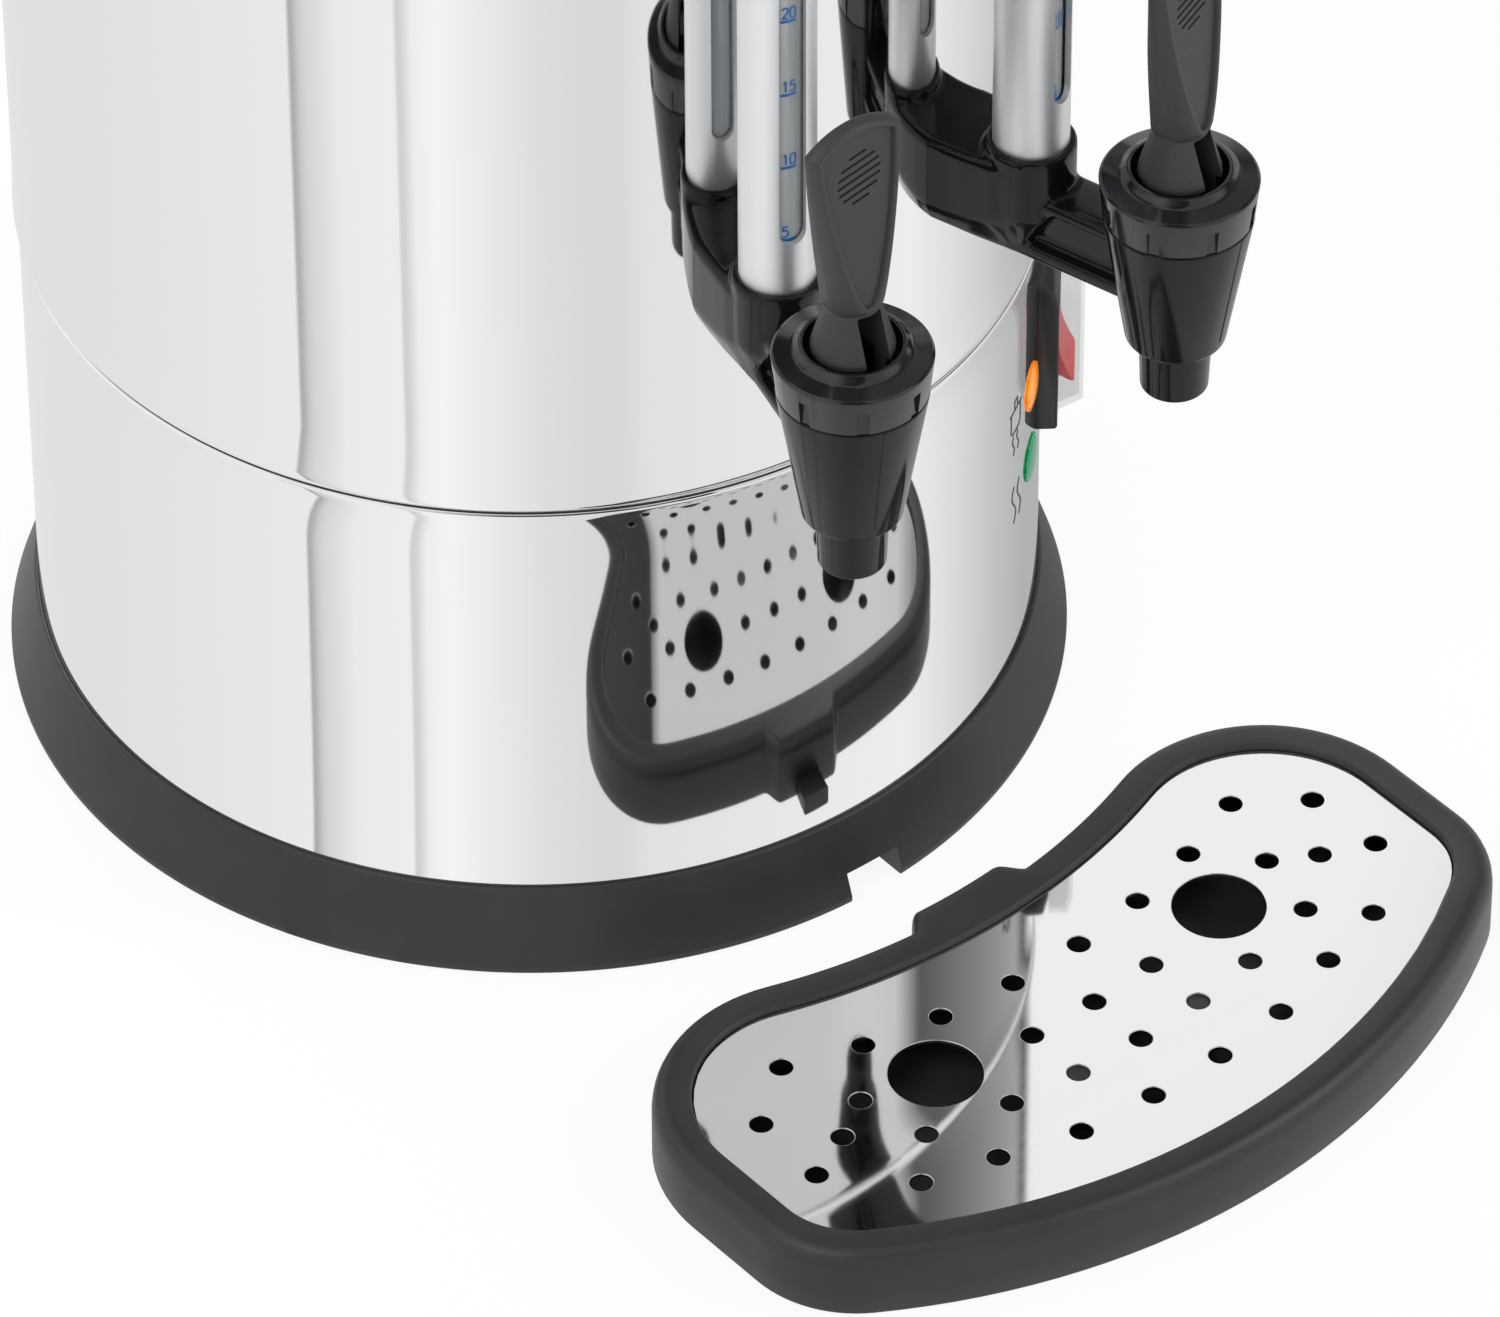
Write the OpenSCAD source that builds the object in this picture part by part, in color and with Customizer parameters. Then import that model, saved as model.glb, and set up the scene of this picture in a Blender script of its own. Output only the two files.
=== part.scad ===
// Countertop hot water dispenser with two lever taps, two sight gauges and a loose drip tray.
// Millimetres, +Z up, front towards -Y, origin on the body axis at table level.

/* [Body] */
// Outer radius of the lower skirt
skirt_r = 130; // [120:1:140]
// How far the upper shell stands proud of the skirt
shell_step = 0.8; // [0:0.1:2]
// Thickness of the steel sheet
sheet_t = 1; // [0.6:0.1:1.5]
// Height of the seam between skirt and shell
seam_z = 147.6; // [140:0.2:150]
// Bend radius of the rolled edges at the seam
edge_r = 3; // [2:0.5:5]
// Width of the lip behind each rolled edge
lip_w = 6; // [4:1:10]
// Height of the upper edge of the shell
shell_top = 452; // [445:1:480]

/* [Base] */
// Height of the black base ring
ring_h = 22.9; // [20:0.1:26]
// How far the foot of the ring flares out past the skirt
ring_flare = 8; // [5:0.5:12]
// Width of the lip that shows around the skirt
ring_lip = 1; // [0.6:0.1:2]
// Depth that the skirt sinks into the ring
skirt_sink = 7; // [4:0.5:9]
// Height of the upright foot of the ring
ring_foot = 2; // [1:0.5:4]
// Width of the notch for the tray hook
notch_w = 16.4; // [13:0.1:18]
// Height of the notch for the tray hook
notch_h = 8.5; // [7.5:0.1:10]
// Depth of the notch from the outside of the ring
notch_d = 12; // [10:0.5:13]
// Radial thickness of the foot of the ring
ring_thick = 16; // [14:0.5:20]
// Width of the flange inside the ring
flange_w = 12; // [10:0.5:16]
// Thickness of the flange inside the ring
flange_t = 4; // [3:0.5:5]
// Thickness of the bottom plate
plate_t = 1.5; // [1:0.1:2]
// Diameter of a rubber foot
foot_d = 20; // [14:1:26]
// Thickness of a rubber foot, level with the foot of the ring
foot_h = 3.5; // [3:0.1:4]

/* [Tank and heater] */
// Air gap between shell and tank
wall_gap = 13.8; // [12:0.2:16]
// Height of the underside of the tank floor
tank_z = 168; // [162:1:174]
// Radius of the heater plate
heater_r = 85; // [75:1:95]
// Radius of the ring of the heating tube
heater_ring_r = 70; // [60:1:74]
// Diameter of the heating tube
heater_tube_d = 8.4; // [6:0.2:10]
// Thickness of the heater plate
heater_t = 3; // [2:0.5:4]

/* [Top] */
// Height of the black rim above the tank flange
rim_h = 9; // [6:0.5:14]
// Rise of the domed lid above its flat edge
lid_rise = 18; // [12:1:26]
// Diameter of the lid knob
knob_d = 44; // [36:1:54]
// Height of the lid knob
knob_h = 34; // [28:1:44]
// Height of the middle of the side handles
handle_z = 396; // [360:1:420]
// Distance between the arms of a side handle
handle_span = 92; // [84:1:110]
// Clear depth between the shell and the grip
handle_gap = 34; // [28:1:44]
// Diameter of the handle bar
handle_d = 16; // [12:0.5:20]

/* [Taps] */
// Angle of each tap from the front
tap_angle = 15.2; // [14:0.1:17]
// Distance of the tap axis in front of the gauge axis
tap_reach = 43.2; // [40:0.2:50]
// Height of the outlet above the table
nozzle_z = 174.8; // [170:0.2:180]
// Length of the nozzle
nozzle_l = 15.2; // [12:0.2:20]
// Outlet diameter at the tip
nozzle_d = 16.8; // [15:0.2:18]
// Diameter of the outlet bore
outlet_d = 12; // [8:0.2:13]
// Height of the joint between tap cone and bonnet
collar_z = 229; // [227:0.2:232]
// Diameter of the cone at the bonnet
cone_d = 37.2; // [36:0.2:38]
// Diameter of the cone at its foot
cone_foot_d = 25; // [23:0.2:27]
// Diameter of the bonnet
bonnet_d = 39.2; // [38.6:0.2:42]
// Height of the bonnet
bonnet_h = 12; // [11:0.2:14]
// Diameter of the well in the bonnet
well_d = 24; // [23:0.2:25]
// Width of the block against the shell
block_w = 25.5; // [24:0.5:28]
// Height of the top of the block
block_top = 229; // [226:0.5:230]
// Height of the underside of block and arm
block_z = 200; // [198:0.5:202]
// Width of the arm
arm_w = 15; // [13:0.5:18]
// Height of the arm
arm_h = 20; // [18:0.5:22]
// Depth of the pockets in the arm's sides
pocket_d = 3; // [1:0.2:3.5]
// Diameter of the threaded shank through the walls
shank_d = 20; // [18:0.5:21]
// Width across the flats of the shank nut
nut_af = 30; // [28:0.5:32]

/* [Lever and valve] */
// Turn of the left lever about its tap
left_lever_turn = 14; // [-30:1:30]
// Overall height of the lever
lever_h = 78; // [74:1:90]
// Width of the lever paddle
paddle_w = 26.5; // [22:0.5:28]
// Thickness of the lever paddle
paddle_t = 7; // [6.5:0.5:10]
// Width of the lever neck
neck_w = 16; // [14:0.5:17]
// Diameter of the lever foot in the well
lever_foot_d = 19.2; // [18:0.2:19.6]
// Width of the slot in the lever foot
fork_w = 7; // [6:0.2:8]
// Height of the pin above the lever foot
pin_up = 6.7; // [6:0.1:7]
// Diameter of the lever pin
pin_d = 3; // [2:0.2:4]
// Diameter of the valve stem
stem_d = 6; // [5:0.2:6.4]
// Diameter of the seat cup
cup_d = 19; // [17:0.5:20]
// Wire diameter of the valve spring
spring_wire = 1.4; // [1:0.1:1.6]
// Turns of the valve spring
spring_turns = 4; // [3:1:5]

/* [Sight gauge] */
// Clear gap between the shell and the sleeve of the gauge
gauge_gap = 11.9; // [10:0.1:16]
// Outer diameter of the aluminium sleeve
sleeve_d = 19; // [18:0.2:20]
// Wall of the aluminium sleeve
sleeve_t = 1.6; // [1.2:0.1:1.8]
// Height of the top of the sleeve
sleeve_top = 424; // [400:1:434]
// Width of the window slot
slot_w = 7; // [5:0.2:9]
// Height of the lower end of the slot
slot_z = 247; // [240:0.5:250]
// Height of the upper end of the slot
slot_top = 404; // [380:1:408]
// Outer diameter of the glass tube
glass_d = 14.6; // [13.6:0.2:15]
// Wall of the glass tube
glass_t = 1.5; // [1:0.1:2]
// Outer diameter of the socket at the foot of the gauge
socket_d = 22.7; // [22:0.1:24]
// Height of the rim of the socket
socket_z = 232; // [230:0.5:234]
// Depth of the sleeve in the socket
socket_deep = 10; // [8:0.5:12]
// Depth of the glass below the sleeve
glass_deep = 7; // [5:0.5:8]

/* [Controls] */
// Angle of the switch from the front
switch_angle = 48.5; // [46:0.5:52]
// Height of the middle of the switch
switch_z = 102.2; // [95:0.2:110]
// Width of the switch bezel
bezel_w = 30; // [28:0.5:34]
// Height of the switch bezel
bezel_h = 44; // [42:0.5:48]
// Depth of the bezel in front of the skirt
bezel_d = 4.6; // [4:0.2:6]
// Depth of the clear cover in front of the bezel
cover_d = 6.8; // [6.4:0.2:8]
// Width of the opening for the switch
switch_w = 22; // [20:0.5:23]
// Height of the opening for the switch
switch_h = 30; // [28:0.5:32]
// Width of the rocker
rocker_w = 17; // [15:0.5:18]
// Length of the rocker
rocker_l = 25; // [23:0.5:26]
// Tilt of the rocker away from the middle
rocker_tilt = 9; // [6:0.5:10]
// Angle of the lamps from the front
lamp_angle = 38.3; // [37:0.1:39]
// Height of the amber lamp
amber_z = 101; // [98:0.5:106]
// Height of the green lamp
green_z = 77.3; // [70:0.5:80]
// Diameter of a lamp lens
lamp_d = 13.4; // [11:0.5:15]
// Diameter of a lamp body behind the lens
lamp_body_d = 10; // [7:0.5:10.5]

/* [Drip tray] */
// Distance that the tray is pulled out from under the taps
tray_pull = 24.5; // [20:0.1:40]
// Turn of the loose tray about the body
tray_turn = 0.7; // [-1:0.1:1]
// Half width of the tray
tray_half_w = 117; // [112:0.5:120]
// Height of the tray
tray_h = 20; // [18:0.5:24]
// Radius of the hollow rear edge
tray_rear_r = 178; // [165:1:200]
// Distance of the hollow rear edge behind the big holes
tray_rear = 41.7; // [39:0.1:43]
// Radius of the rear lobes
tray_lobe_r = 43.5; // [40:0.5:46]
// Radius of the front corners
tray_corner_r = 32; // [28:0.5:36]
// Radius of the bowed front edge
tray_front_r = 190; // [170:1:220]
// Distance of the front edge ahead of the big holes
tray_front = 70.6; // [68:0.1:73]
// Width of the rim around the grate
tray_rim = 10; // [8:0.5:12]
// Width of the ledge that carries the grate
tray_ledge = 3.5; // [2:0.5:5]
// Wall of the tray
tray_wall = 2.5; // [2:0.1:3]
// Depth of the grate below the rim
grate_sink = 2; // [1:0.2:3]
// Thickness of the grate
grate_t = 1; // [0.8:0.1:1.5]
// Distance of each big hole from the middle
big_hole_x = 47.2; // [44:0.2:50]
// Diameter of the big holes
big_hole_d = 24; // [18:0.5:26]
// Diameter of the small holes
small_hole_d = 6; // [4:0.2:7]
// Width of the tab behind the tray
tab_w = 31; // [26:0.5:36]
// Depth of the tab behind the hollow edge
tab_d = 6; // [4:0.5:8]
// Width of the hook under the tab
hook_w = 11; // [8:0.2:12]
// Length of the hook behind the tab
hook_l = 8; // [6:0.5:9]
// Height of the hook
hook_h = 6; // [4:0.5:6.5]

/* [Clearances] */
// Clearance between pieces that are fixed together
seat_gap = 0.05; // [0.03:0.01:0.1]
// Clearance of a loose fit
loose_gap = 0.3; // [0.2:0.05:0.5]

/* [Hidden] */
$fn = 96;

// Body radii and heights
shell_r = skirt_r + shell_step;
ring_r = skirt_r + ring_flare;
ring_in_r = ring_r - ring_thick;
skirt_z = ring_h - skirt_sink;
flange_z = foot_h + plate_t;
flange_in_r = ring_in_r - flange_w;
plate_r = ring_in_r - loose_gap;
screw_r = ring_in_r - flange_w / 2;
screw_d = 3.9;
screw_head_d = 7.5;
screw_head_h = 2;
base_count = 4;
foot_r = screw_r - foot_d;
tank_r = shell_r - sheet_t - wall_gap;
tank_in_r = tank_r - sheet_t;
heater_z = tank_z - heater_t;
tube_sunk = 1;
tube_z = heater_z - heater_tube_d / 2 + tube_sunk;
terminal_x = 12;
terminal_d = 5;
terminal_l = 22;
terminal_z = tube_z - terminal_l;
block_size = [44, 20, 18];
lead_d = 3.2;
control_d = 16;
control_h = 9;
control_r = 30;

// Gland at the rear
gland_z = 46;
gland_d = 18;
gland_flange_d = 26;
gland_flange_t = 5;
gland_bore_d = 8.5;
gland_nut_t = 4;
gland_end = 3;

// Rim, lid and handles
rim_z = shell_top + sheet_t;
rim_top = rim_z + rim_h;
rim_out_r = shell_r + 2.5;
rim_drop = 7;
lid_r = tank_in_r + 10;
lid_flat_r = knob_d / 2 + 3;
lid_plug = 7;
lid_top = rim_top + sheet_t + lid_rise;
knob_stem_d = 18;
knob_stem_h = 10;
handle_bend = 14;
handle_foot_d = handle_d + 6;
handle_foot_t = 7;
handle_y = shell_r + handle_gap + handle_d / 2;
handle_screw_d = 5;
handle_screw_head_d = 9;
handle_screw_head_t = 3;
handle_screw_in = 14;

// Gauge and tap places
gauge_r = shell_r + gauge_gap + sleeve_d / 2;
tap_r = gauge_r + tap_reach;

// Tap heights
cone_z = nozzle_z + nozzle_l;
cone_round = 3;
seat_z = cone_z + 16;
chamber_d = 22;
thread_d = 31;
thread_h = 7;
well_wall = 1.5;
well_floor = collar_z + 2;
floor_t = 2;
well_cup_d = well_d + 2 * well_wall;
shank_z = block_z + 12;
water_z = seat_z + 3;
shank_bore_d = 7;
arm_bore_d = 6;
pocket_low = 5;
pocket_high = 4;
washer_t = 2;
washer_d = nut_af - 2;
nut_t = 7;
washer_out = sqrt(pow(tank_in_r, 2) - pow(washer_d / 2, 2)) - seat_gap;
shank_end = washer_out - washer_t - nut_t - 2;
bonnet_top = collar_z + bonnet_h;
bonnet_bead = 0.6;
bead_low = bonnet_top - 4.5;
bead_wide = bonnet_top - 3.5;
bead_high = bonnet_top - 1.5;
dish_deep = 1;
dish_edge = 2;
bonnet_notches = 8;
notch_wide = 2.8;
notch_deep = 0.6;
nozzle_taper = 1.2;
shank_root = 4;

// Lever and valve heights
lever_z = well_floor + loose_gap;
pin_z = lever_z + pin_up;
run_gap = 0.03;
lever_top = lever_z + lever_h;
paddle_arch = 4.5;
arch_r = (pow(paddle_w / 2, 2) + pow(paddle_arch, 2)) / (2 * paddle_arch);
neck_z = lever_z + 26;
neck_t = 0.75 * neck_w;
lever_front = 2;
shoulder_z = lever_top - paddle_arch;
waist_z = (neck_z + shoulder_z) / 2;
waist_w = (neck_w + paddle_w) / 2 + 1;
waist_back = paddle_t - 2.5;
collar_up = 9;
slice_t = 0.5;
slot_up = 24;
pin_inset = 1.5;
cup_h = 8;
cup_bore = 5;
collar_d = 16;
collar_t = 2;
spring_z = seat_z + cup_h + collar_t;
spring_top = collar_z;
spring_d = (collar_d + stem_d) / 2;
stem_head_w = fork_w - 2 * loose_gap;
stem_head_l = 8;
stem_head_up = 4.6;

// Gauge heights
sleeve_z = socket_z - socket_deep;
glass_z = sleeve_z - glass_deep;
seal_d = glass_d + 1.2;
gauge_cap_d = sleeve_d + 4;
gauge_cap_h = 20;
gauge_cap_z = sleeve_top - 12;
glass_top = sleeve_top + 2;
bracket_w = 12;
bracket_h = 14;
stud_d = 6;
stud_l = 9;

// Controls
bezel_y = skirt_r + bezel_d;
pivot_back = 2;
pivot_y = bezel_y - pivot_back;
pivot_d = 2.4;
pivot_l = rocker_w + 3;
body_gap = 0.1;
body_back = 24;
body_front = bezel_y - 0.6;
pocket_l = rocker_l + 2;
pocket_w = rocker_w + 1;
pocket_deep = 10;
rocker_mid = 2;
rocker_end = 4.2;
rocker_back = 5;
rocker_cut = 3;
bezel_back = 4;
cover_w = bezel_w - 2;
cover_h = bezel_h - 3;
cover_wall = 1;
cover_bevel = 2.5;
blade = [6.3, 8, 0.8];
lens_rise = 0.9;
lens_flange = 0.4;
lamp_body_l = 14;
clip_d = lamp_body_d + 6;
clip_t = 2;

// Tray places: big holes lie on the line y = -tray_y, in front of the tap axes
tray_y = tap_r * cos(tap_angle) + tray_pull;
lobe_x = tray_half_w - tray_lobe_r;
rear_c = -tray_y + tray_rear + tray_rear_r;
lobe_y = rear_c - sqrt(pow(tray_rear_r + tray_lobe_r, 2) - pow(lobe_x, 2));
front_c = -tray_y - tray_front + tray_front_r;
corner_x = tray_half_w - tray_corner_r;
corner_y = front_c - sqrt(pow(tray_front_r - tray_corner_r, 2) - pow(corner_x, 2));
grate_z = tray_h - grate_sink - grate_t;
grate_gap = loose_gap;
tab_back = -tray_y + tray_rear + tab_d;
post_d = 8;
post_at = [20.2, -22.8];

// Rows of small drain holes: places ahead of the big holes' line in row pitches, and angles to both sides
drain_pitch = 17.7;
drain_rows = [
    [-0.68, [3.13, 9.39, 15.65, 21.9]],
    [0.34, [0, 5.2, 18, 24.8]],
    [1.33, [0, 4.84, 9.65, 15.47]],
    [0.93, [20.27]],
    [1.53, [22.8]],
    [2.32, [2.5, 7.5]],
    [2.18, [12.6, 17.4]]
];

// Points of an arc about a centre, from one angle to another
function arc(centre, r, from, to, steps) =
    [for (i = [0:steps]) let (a = from + (to - from) * i / steps) centre + r * [cos(a), sin(a)]];

// Turns a shape built at the front (-Y) to an angle, positive towards +X
module at_angle(a) {
    rotate([0, 0, a])
        children();
}

// Stands a shape built along +Z on its side, pointing out of the front at a distance from the axis
module facing_out(y, z) {
    translate([0, -y, z])
        rotate([90, 0, 0])
            children();
}

// Repeats a shape evenly around the body axis
module around(count, r, start) {
    for (i = [0:count - 1])
        rotate([0, 0, start + 360 * i / count])
            translate([r, 0, 0])
                children();
}

// Quarter of a rolled sheet edge, bending inwards and upwards
module rolled_corner() {
    intersection() {
        difference() {
            circle(edge_r);
            circle(edge_r - sheet_t);
        }
        square(edge_r);
    }
}

// Sheet wall with a rolled edge at its upper end, drawn as a half section
module rolled_wall(r, low, high) {
    translate([r - sheet_t, low])
        square([sheet_t, high - edge_r - low]);
    translate([r - edge_r, high - edge_r])
        rolled_corner();
    translate([r - edge_r - lip_w, high - sheet_t])
        square([lip_w, sheet_t]);
}

// Base

module base_ring() {
    color("#262626")
        difference() {
            rotate_extrude()
                polygon([
                    [ring_in_r, 0],
                    [ring_r, 0],
                    [ring_r, ring_foot],
                    [skirt_r + ring_lip, ring_h],
                    [skirt_r + seat_gap, ring_h],
                    [skirt_r + seat_gap, skirt_z],
                    [ring_in_r + flange_t, skirt_z],
                    [ring_in_r + flange_t, flange_z + flange_t],
                    [flange_in_r, flange_z + flange_t],
                    [flange_in_r, flange_z],
                    [ring_in_r, flange_z]
                ]);
            translate([-notch_w / 2, -ring_r - 1, -1])
                cube([notch_w, notch_d + 1, notch_h + 1]);
            around(base_count, screw_r, 45)
                cylinder(d = screw_d + 2 * seat_gap, h = ring_h);
        }
}

module rubber_feet() {
    color("#1a1a1a")
        around(base_count, foot_r, 0)
            cylinder(d = foot_d, h = foot_h);
}

module bottom_plate() {
    color("#b8babc")
        translate([0, 0, foot_h])
            difference() {
                cylinder(r = plate_r, h = plate_t);
                around(base_count, screw_r, 45)
                    translate([0, 0, -1])
                        cylinder(d = screw_d + 2 * loose_gap, h = plate_t + 2);
            }
}

module bottom_screws() {
    color("#9a9c9e")
        around(base_count, screw_r, 45) {
            translate([0, 0, foot_h - screw_head_h])
                cylinder(d = screw_head_d, h = screw_head_h);
            translate([0, 0, foot_h])
                cylinder(d = screw_d, h = plate_t + flange_t);
        }
}

// Shells and tank

module lower_skirt() {
    color("#d4d6d8")
        difference() {
            rotate_extrude()
                rolled_wall(skirt_r, skirt_z, seam_z);
            at_angle(switch_angle)
                translate([-switch_w / 2, -skirt_r - 1, switch_z - switch_h / 2])
                    cube([switch_w, 10, switch_h]);
            for (z = [amber_z, green_z])
                at_angle(lamp_angle)
                    facing_out(skirt_r - 10, z)
                        cylinder(d = lamp_body_d + 2 * body_gap, h = 20);
            at_angle(180)
                facing_out(skirt_r - 10, gland_z)
                    cylinder(d = gland_d + 2 * body_gap, h = 20);
        }
}

module outer_shell() {
    color("#d8dadc")
        difference() {
            rotate_extrude()
                translate([0, seam_z + shell_top])
                    mirror([0, 1])
                        rolled_wall(shell_r, seam_z, shell_top);
            for (a = [-tap_angle, tap_angle])
                at_angle(a) {
                    facing_out(shell_r - 10, shank_z)
                        cylinder(d = shank_d + 2 * body_gap, h = 20);
                    facing_out(shell_r - 10, gauge_cap_z + bracket_h / 2)
                        cylinder(d = stud_d + 2 * body_gap, h = 20);
                }
            for (a = [-90, 90], x = [-handle_span / 2, handle_span / 2])
                at_angle(a)
                    translate([x, 0, 0])
                        facing_out(shell_r - 30, handle_z)
                            cylinder(d = handle_screw_d + 2 * body_gap, h = 40);
        }
}

module tank() {
    color("#c4c6c8")
        difference() {
            union() {
                translate([0, 0, tank_z])
                    difference() {
                        cylinder(r = tank_r, h = rim_z - tank_z);
                        translate([0, 0, sheet_t])
                            cylinder(r = tank_in_r, h = rim_z - tank_z);
                    }
                translate([0, 0, shell_top])
                    difference() {
                        cylinder(r = shell_r, h = sheet_t);
                        translate([0, 0, -1])
                            cylinder(r = tank_in_r, h = sheet_t + 2);
                    }
            }
            for (a = [-tap_angle, tap_angle])
                at_angle(a)
                    facing_out(tank_in_r - 10, shank_z)
                        cylinder(d = shank_d + 2 * body_gap, h = 20);
        }
}

// Heater and wiring under the tank

module heating_element() {
    color("#8d8a86") {
        translate([0, 0, heater_z])
            cylinder(r = heater_r, h = heater_t);
        translate([0, 0, tube_z])
            rotate_extrude()
                translate([heater_ring_r, 0])
                    circle(d = heater_tube_d);
        for (x = [-terminal_x, terminal_x])
            translate([x, heater_ring_r, terminal_z])
                cylinder(d = terminal_d, h = tube_z - terminal_z);
    }
}

// Round control clipped under the heater plate, with two blade terminals
module disc_control(d, h) {
    translate([0, 0, heater_z - h])
        cylinder(d = d, h = h);
    for (x = [-d / 4, d / 4])
        translate([x - blade[2] / 2, -blade[0] / 2, heater_z - h - blade[1]])
            cube([blade[2], blade[0], blade[1]]);
}

module thermostat() {
    color("#5b4636")
        translate([-control_r, 0, 0])
            disc_control(control_d, control_h);
}

module thermal_cutout() {
    color("#e6e0d4")
        translate([control_r, 0, 0])
            disc_control(control_d + 4, control_h + 3);
}

module terminal_block() {
    color("#ece6d8")
        translate([-block_size[0] / 2, heater_ring_r - block_size[1] / 2, flange_z])
            cube(block_size);
}

module heater_leads() {
    lead_z = flange_z + block_size[2];
    color("#c9b48a")
        for (x = [-terminal_x, terminal_x])
            translate([x, heater_ring_r, lead_z])
                cylinder(d = lead_d, h = terminal_z - lead_z);
}

module cable_gland() {
    color("#1c1c1c")
        at_angle(180)
            difference() {
                union() {
                    facing_out(skirt_r, gland_z)
                        cylinder(d = gland_flange_d, h = gland_flange_t);
                    facing_out(skirt_r - sheet_t - gland_nut_t - gland_end, gland_z)
                        cylinder(d = gland_d, h = gland_nut_t + sheet_t + gland_end + 1);
                }
                facing_out(skirt_r - 20, gland_z)
                    cylinder(d = gland_bore_d, h = 40);
            }
}

module gland_nut() {
    nut_out = sqrt(pow(skirt_r - sheet_t, 2) - pow(gland_flange_d / 2, 2)) - seat_gap;
    color("#2a2a2a")
        at_angle(180)
            difference() {
                facing_out(nut_out - gland_nut_t, gland_z)
                    cylinder(d = gland_flange_d, h = gland_nut_t, $fn = 6);
                facing_out(nut_out - gland_nut_t - 1, gland_z)
                    cylinder(d = gland_d + 2 * seat_gap, h = gland_nut_t + 2);
            }
}

// Rim, lid and handles

module top_rim() {
    chamfer = rim_h / 3;
    color("#202020")
        rotate_extrude()
            polygon([
                [tank_in_r, rim_z],
                [shell_r + seat_gap, rim_z],
                [shell_r + seat_gap, shell_top - rim_drop],
                [rim_out_r, shell_top - rim_drop],
                [rim_out_r, rim_top - chamfer],
                [rim_out_r - chamfer, rim_top],
                [tank_in_r + chamfer, rim_top],
                [tank_in_r, rim_top - chamfer]
            ]);
}

// Height of the lid's dome at a radius, above the flat edge
function dome(r) = lid_rise * (1 - pow((r - lid_flat_r) / (tank_in_r - lid_flat_r), 2));

module lid() {
    plug_r = tank_in_r - 2 * loose_gap;
    steps = 8;
    radii = [for (i = [0:steps]) plug_r - (plug_r - lid_flat_r) * i / steps];
    upper = [for (r = radii) [r, rim_top + sheet_t + dome(r)]];
    lower = [for (i = [steps:-1:0]) [radii[i] - sheet_t, rim_top + dome(radii[i])]];
    color("#d6d8da")
        rotate_extrude()
            polygon(concat(
                [[lid_r, rim_top], [lid_r, rim_top + sheet_t]],
                upper,
                [[0, lid_top], [0, lid_top - sheet_t]],
                lower,
                [[plug_r - sheet_t, rim_top - lid_plug], [plug_r, rim_top - lid_plug], [plug_r, rim_top]]
            ));
}

module lid_knob() {
    round_r = knob_d / 5;
    color("#202020")
        translate([0, 0, lid_top])
            rotate_extrude()
                polygon(concat(
                    [[0, 0], [knob_stem_d / 2, 0], [knob_stem_d / 2, knob_stem_h]],
                    arc([knob_d / 2 - round_r, knob_stem_h + round_r], round_r, -90, 0, 6),
                    arc([knob_d / 2 - round_r, knob_h - round_r], round_r, 0, 90, 6),
                    [[0, knob_h]]
                ));
}

// Bow handle at the front of the shell, cut to fit its curve
module bow_handle() {
    reach = handle_y - handle_bend;
    arm_start = shell_r * 0.8;
    foot_end = foot_line(handle_span / 2) + handle_foot_t;
    color("#202020")
        difference() {
            union() {
                translate([-handle_span / 2 + handle_bend, -handle_y, handle_z])
                    rotate([0, 90, 0])
                        cylinder(d = handle_d, h = handle_span - 2 * handle_bend);
                for (s = [-1, 1]) {
                    translate([s * handle_span / 2, 0, 0])
                        facing_out(arm_start, handle_z) {
                            cylinder(d = handle_d, h = reach - arm_start);
                            cylinder(d = handle_foot_d, h = foot_end - arm_start);
                        }
                    translate([s * (handle_span / 2 - handle_bend), -reach, handle_z])
                        rotate([0, 0, s > 0 ? -90 : 180])
                            rotate_extrude(angle = 90)
                                translate([handle_bend, 0])
                                    circle(d = handle_d);
                }
            }
            cylinder(r = shell_r + seat_gap, h = 2 * shell_top);
            for (x = [-handle_span / 2, handle_span / 2])
                translate([x, 0, 0])
                    facing_out(arm_start, handle_z)
                        cylinder(d = handle_screw_d + 2 * seat_gap, h = screw_tip() - arm_start);
        }
}

// Distance from the body axis, along the handle's arms, to the shell's outside and to its screws' tips
function foot_line(x) = sqrt(pow(shell_r, 2) - pow(x, 2));
function screw_tip() = foot_line(handle_span / 2) + handle_screw_in;

module left_handle() {
    at_angle(-90)
        bow_handle();
}

module right_handle() {
    at_angle(90)
        bow_handle();
}

module handle_screws() {
    head_x = handle_span / 2 + handle_screw_head_d / 2;
    head_out = sqrt(pow(shell_r - sheet_t, 2) - pow(head_x, 2)) - seat_gap;
    color("#9a9c9e")
        for (a = [-90, 90], x = [-handle_span / 2, handle_span / 2])
            at_angle(a)
                translate([x, 0, 0]) {
                    facing_out(head_out - handle_screw_head_t, handle_z)
                        cylinder(d = handle_screw_head_d, h = handle_screw_head_t);
                    facing_out(head_out, handle_z)
                        cylinder(d = handle_screw_d, h = screw_tip() - head_out - 1);
                }
}

// Taps, built at the front and turned to their angles

// Moves a shape from the body axis to the tap axis
module at_tap() {
    translate([0, -tap_r, 0])
        children();
}

// Turns a shape about the tap axis
module about_tap(a) {
    at_tap()
        rotate([0, 0, a])
            translate([0, tap_r, 0])
                children();
}

// Moves a shape from the body axis to the gauge axis
module at_gauge() {
    translate([0, -gauge_r, 0])
        children();
}

module tap_block() {
    difference() {
        translate([-block_w / 2, -gauge_r, block_z])
            cube([block_w, gauge_r - tank_r, block_top - block_z]);
        cylinder(r = shell_r + seat_gap, h = shell_top);
    }
}

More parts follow.
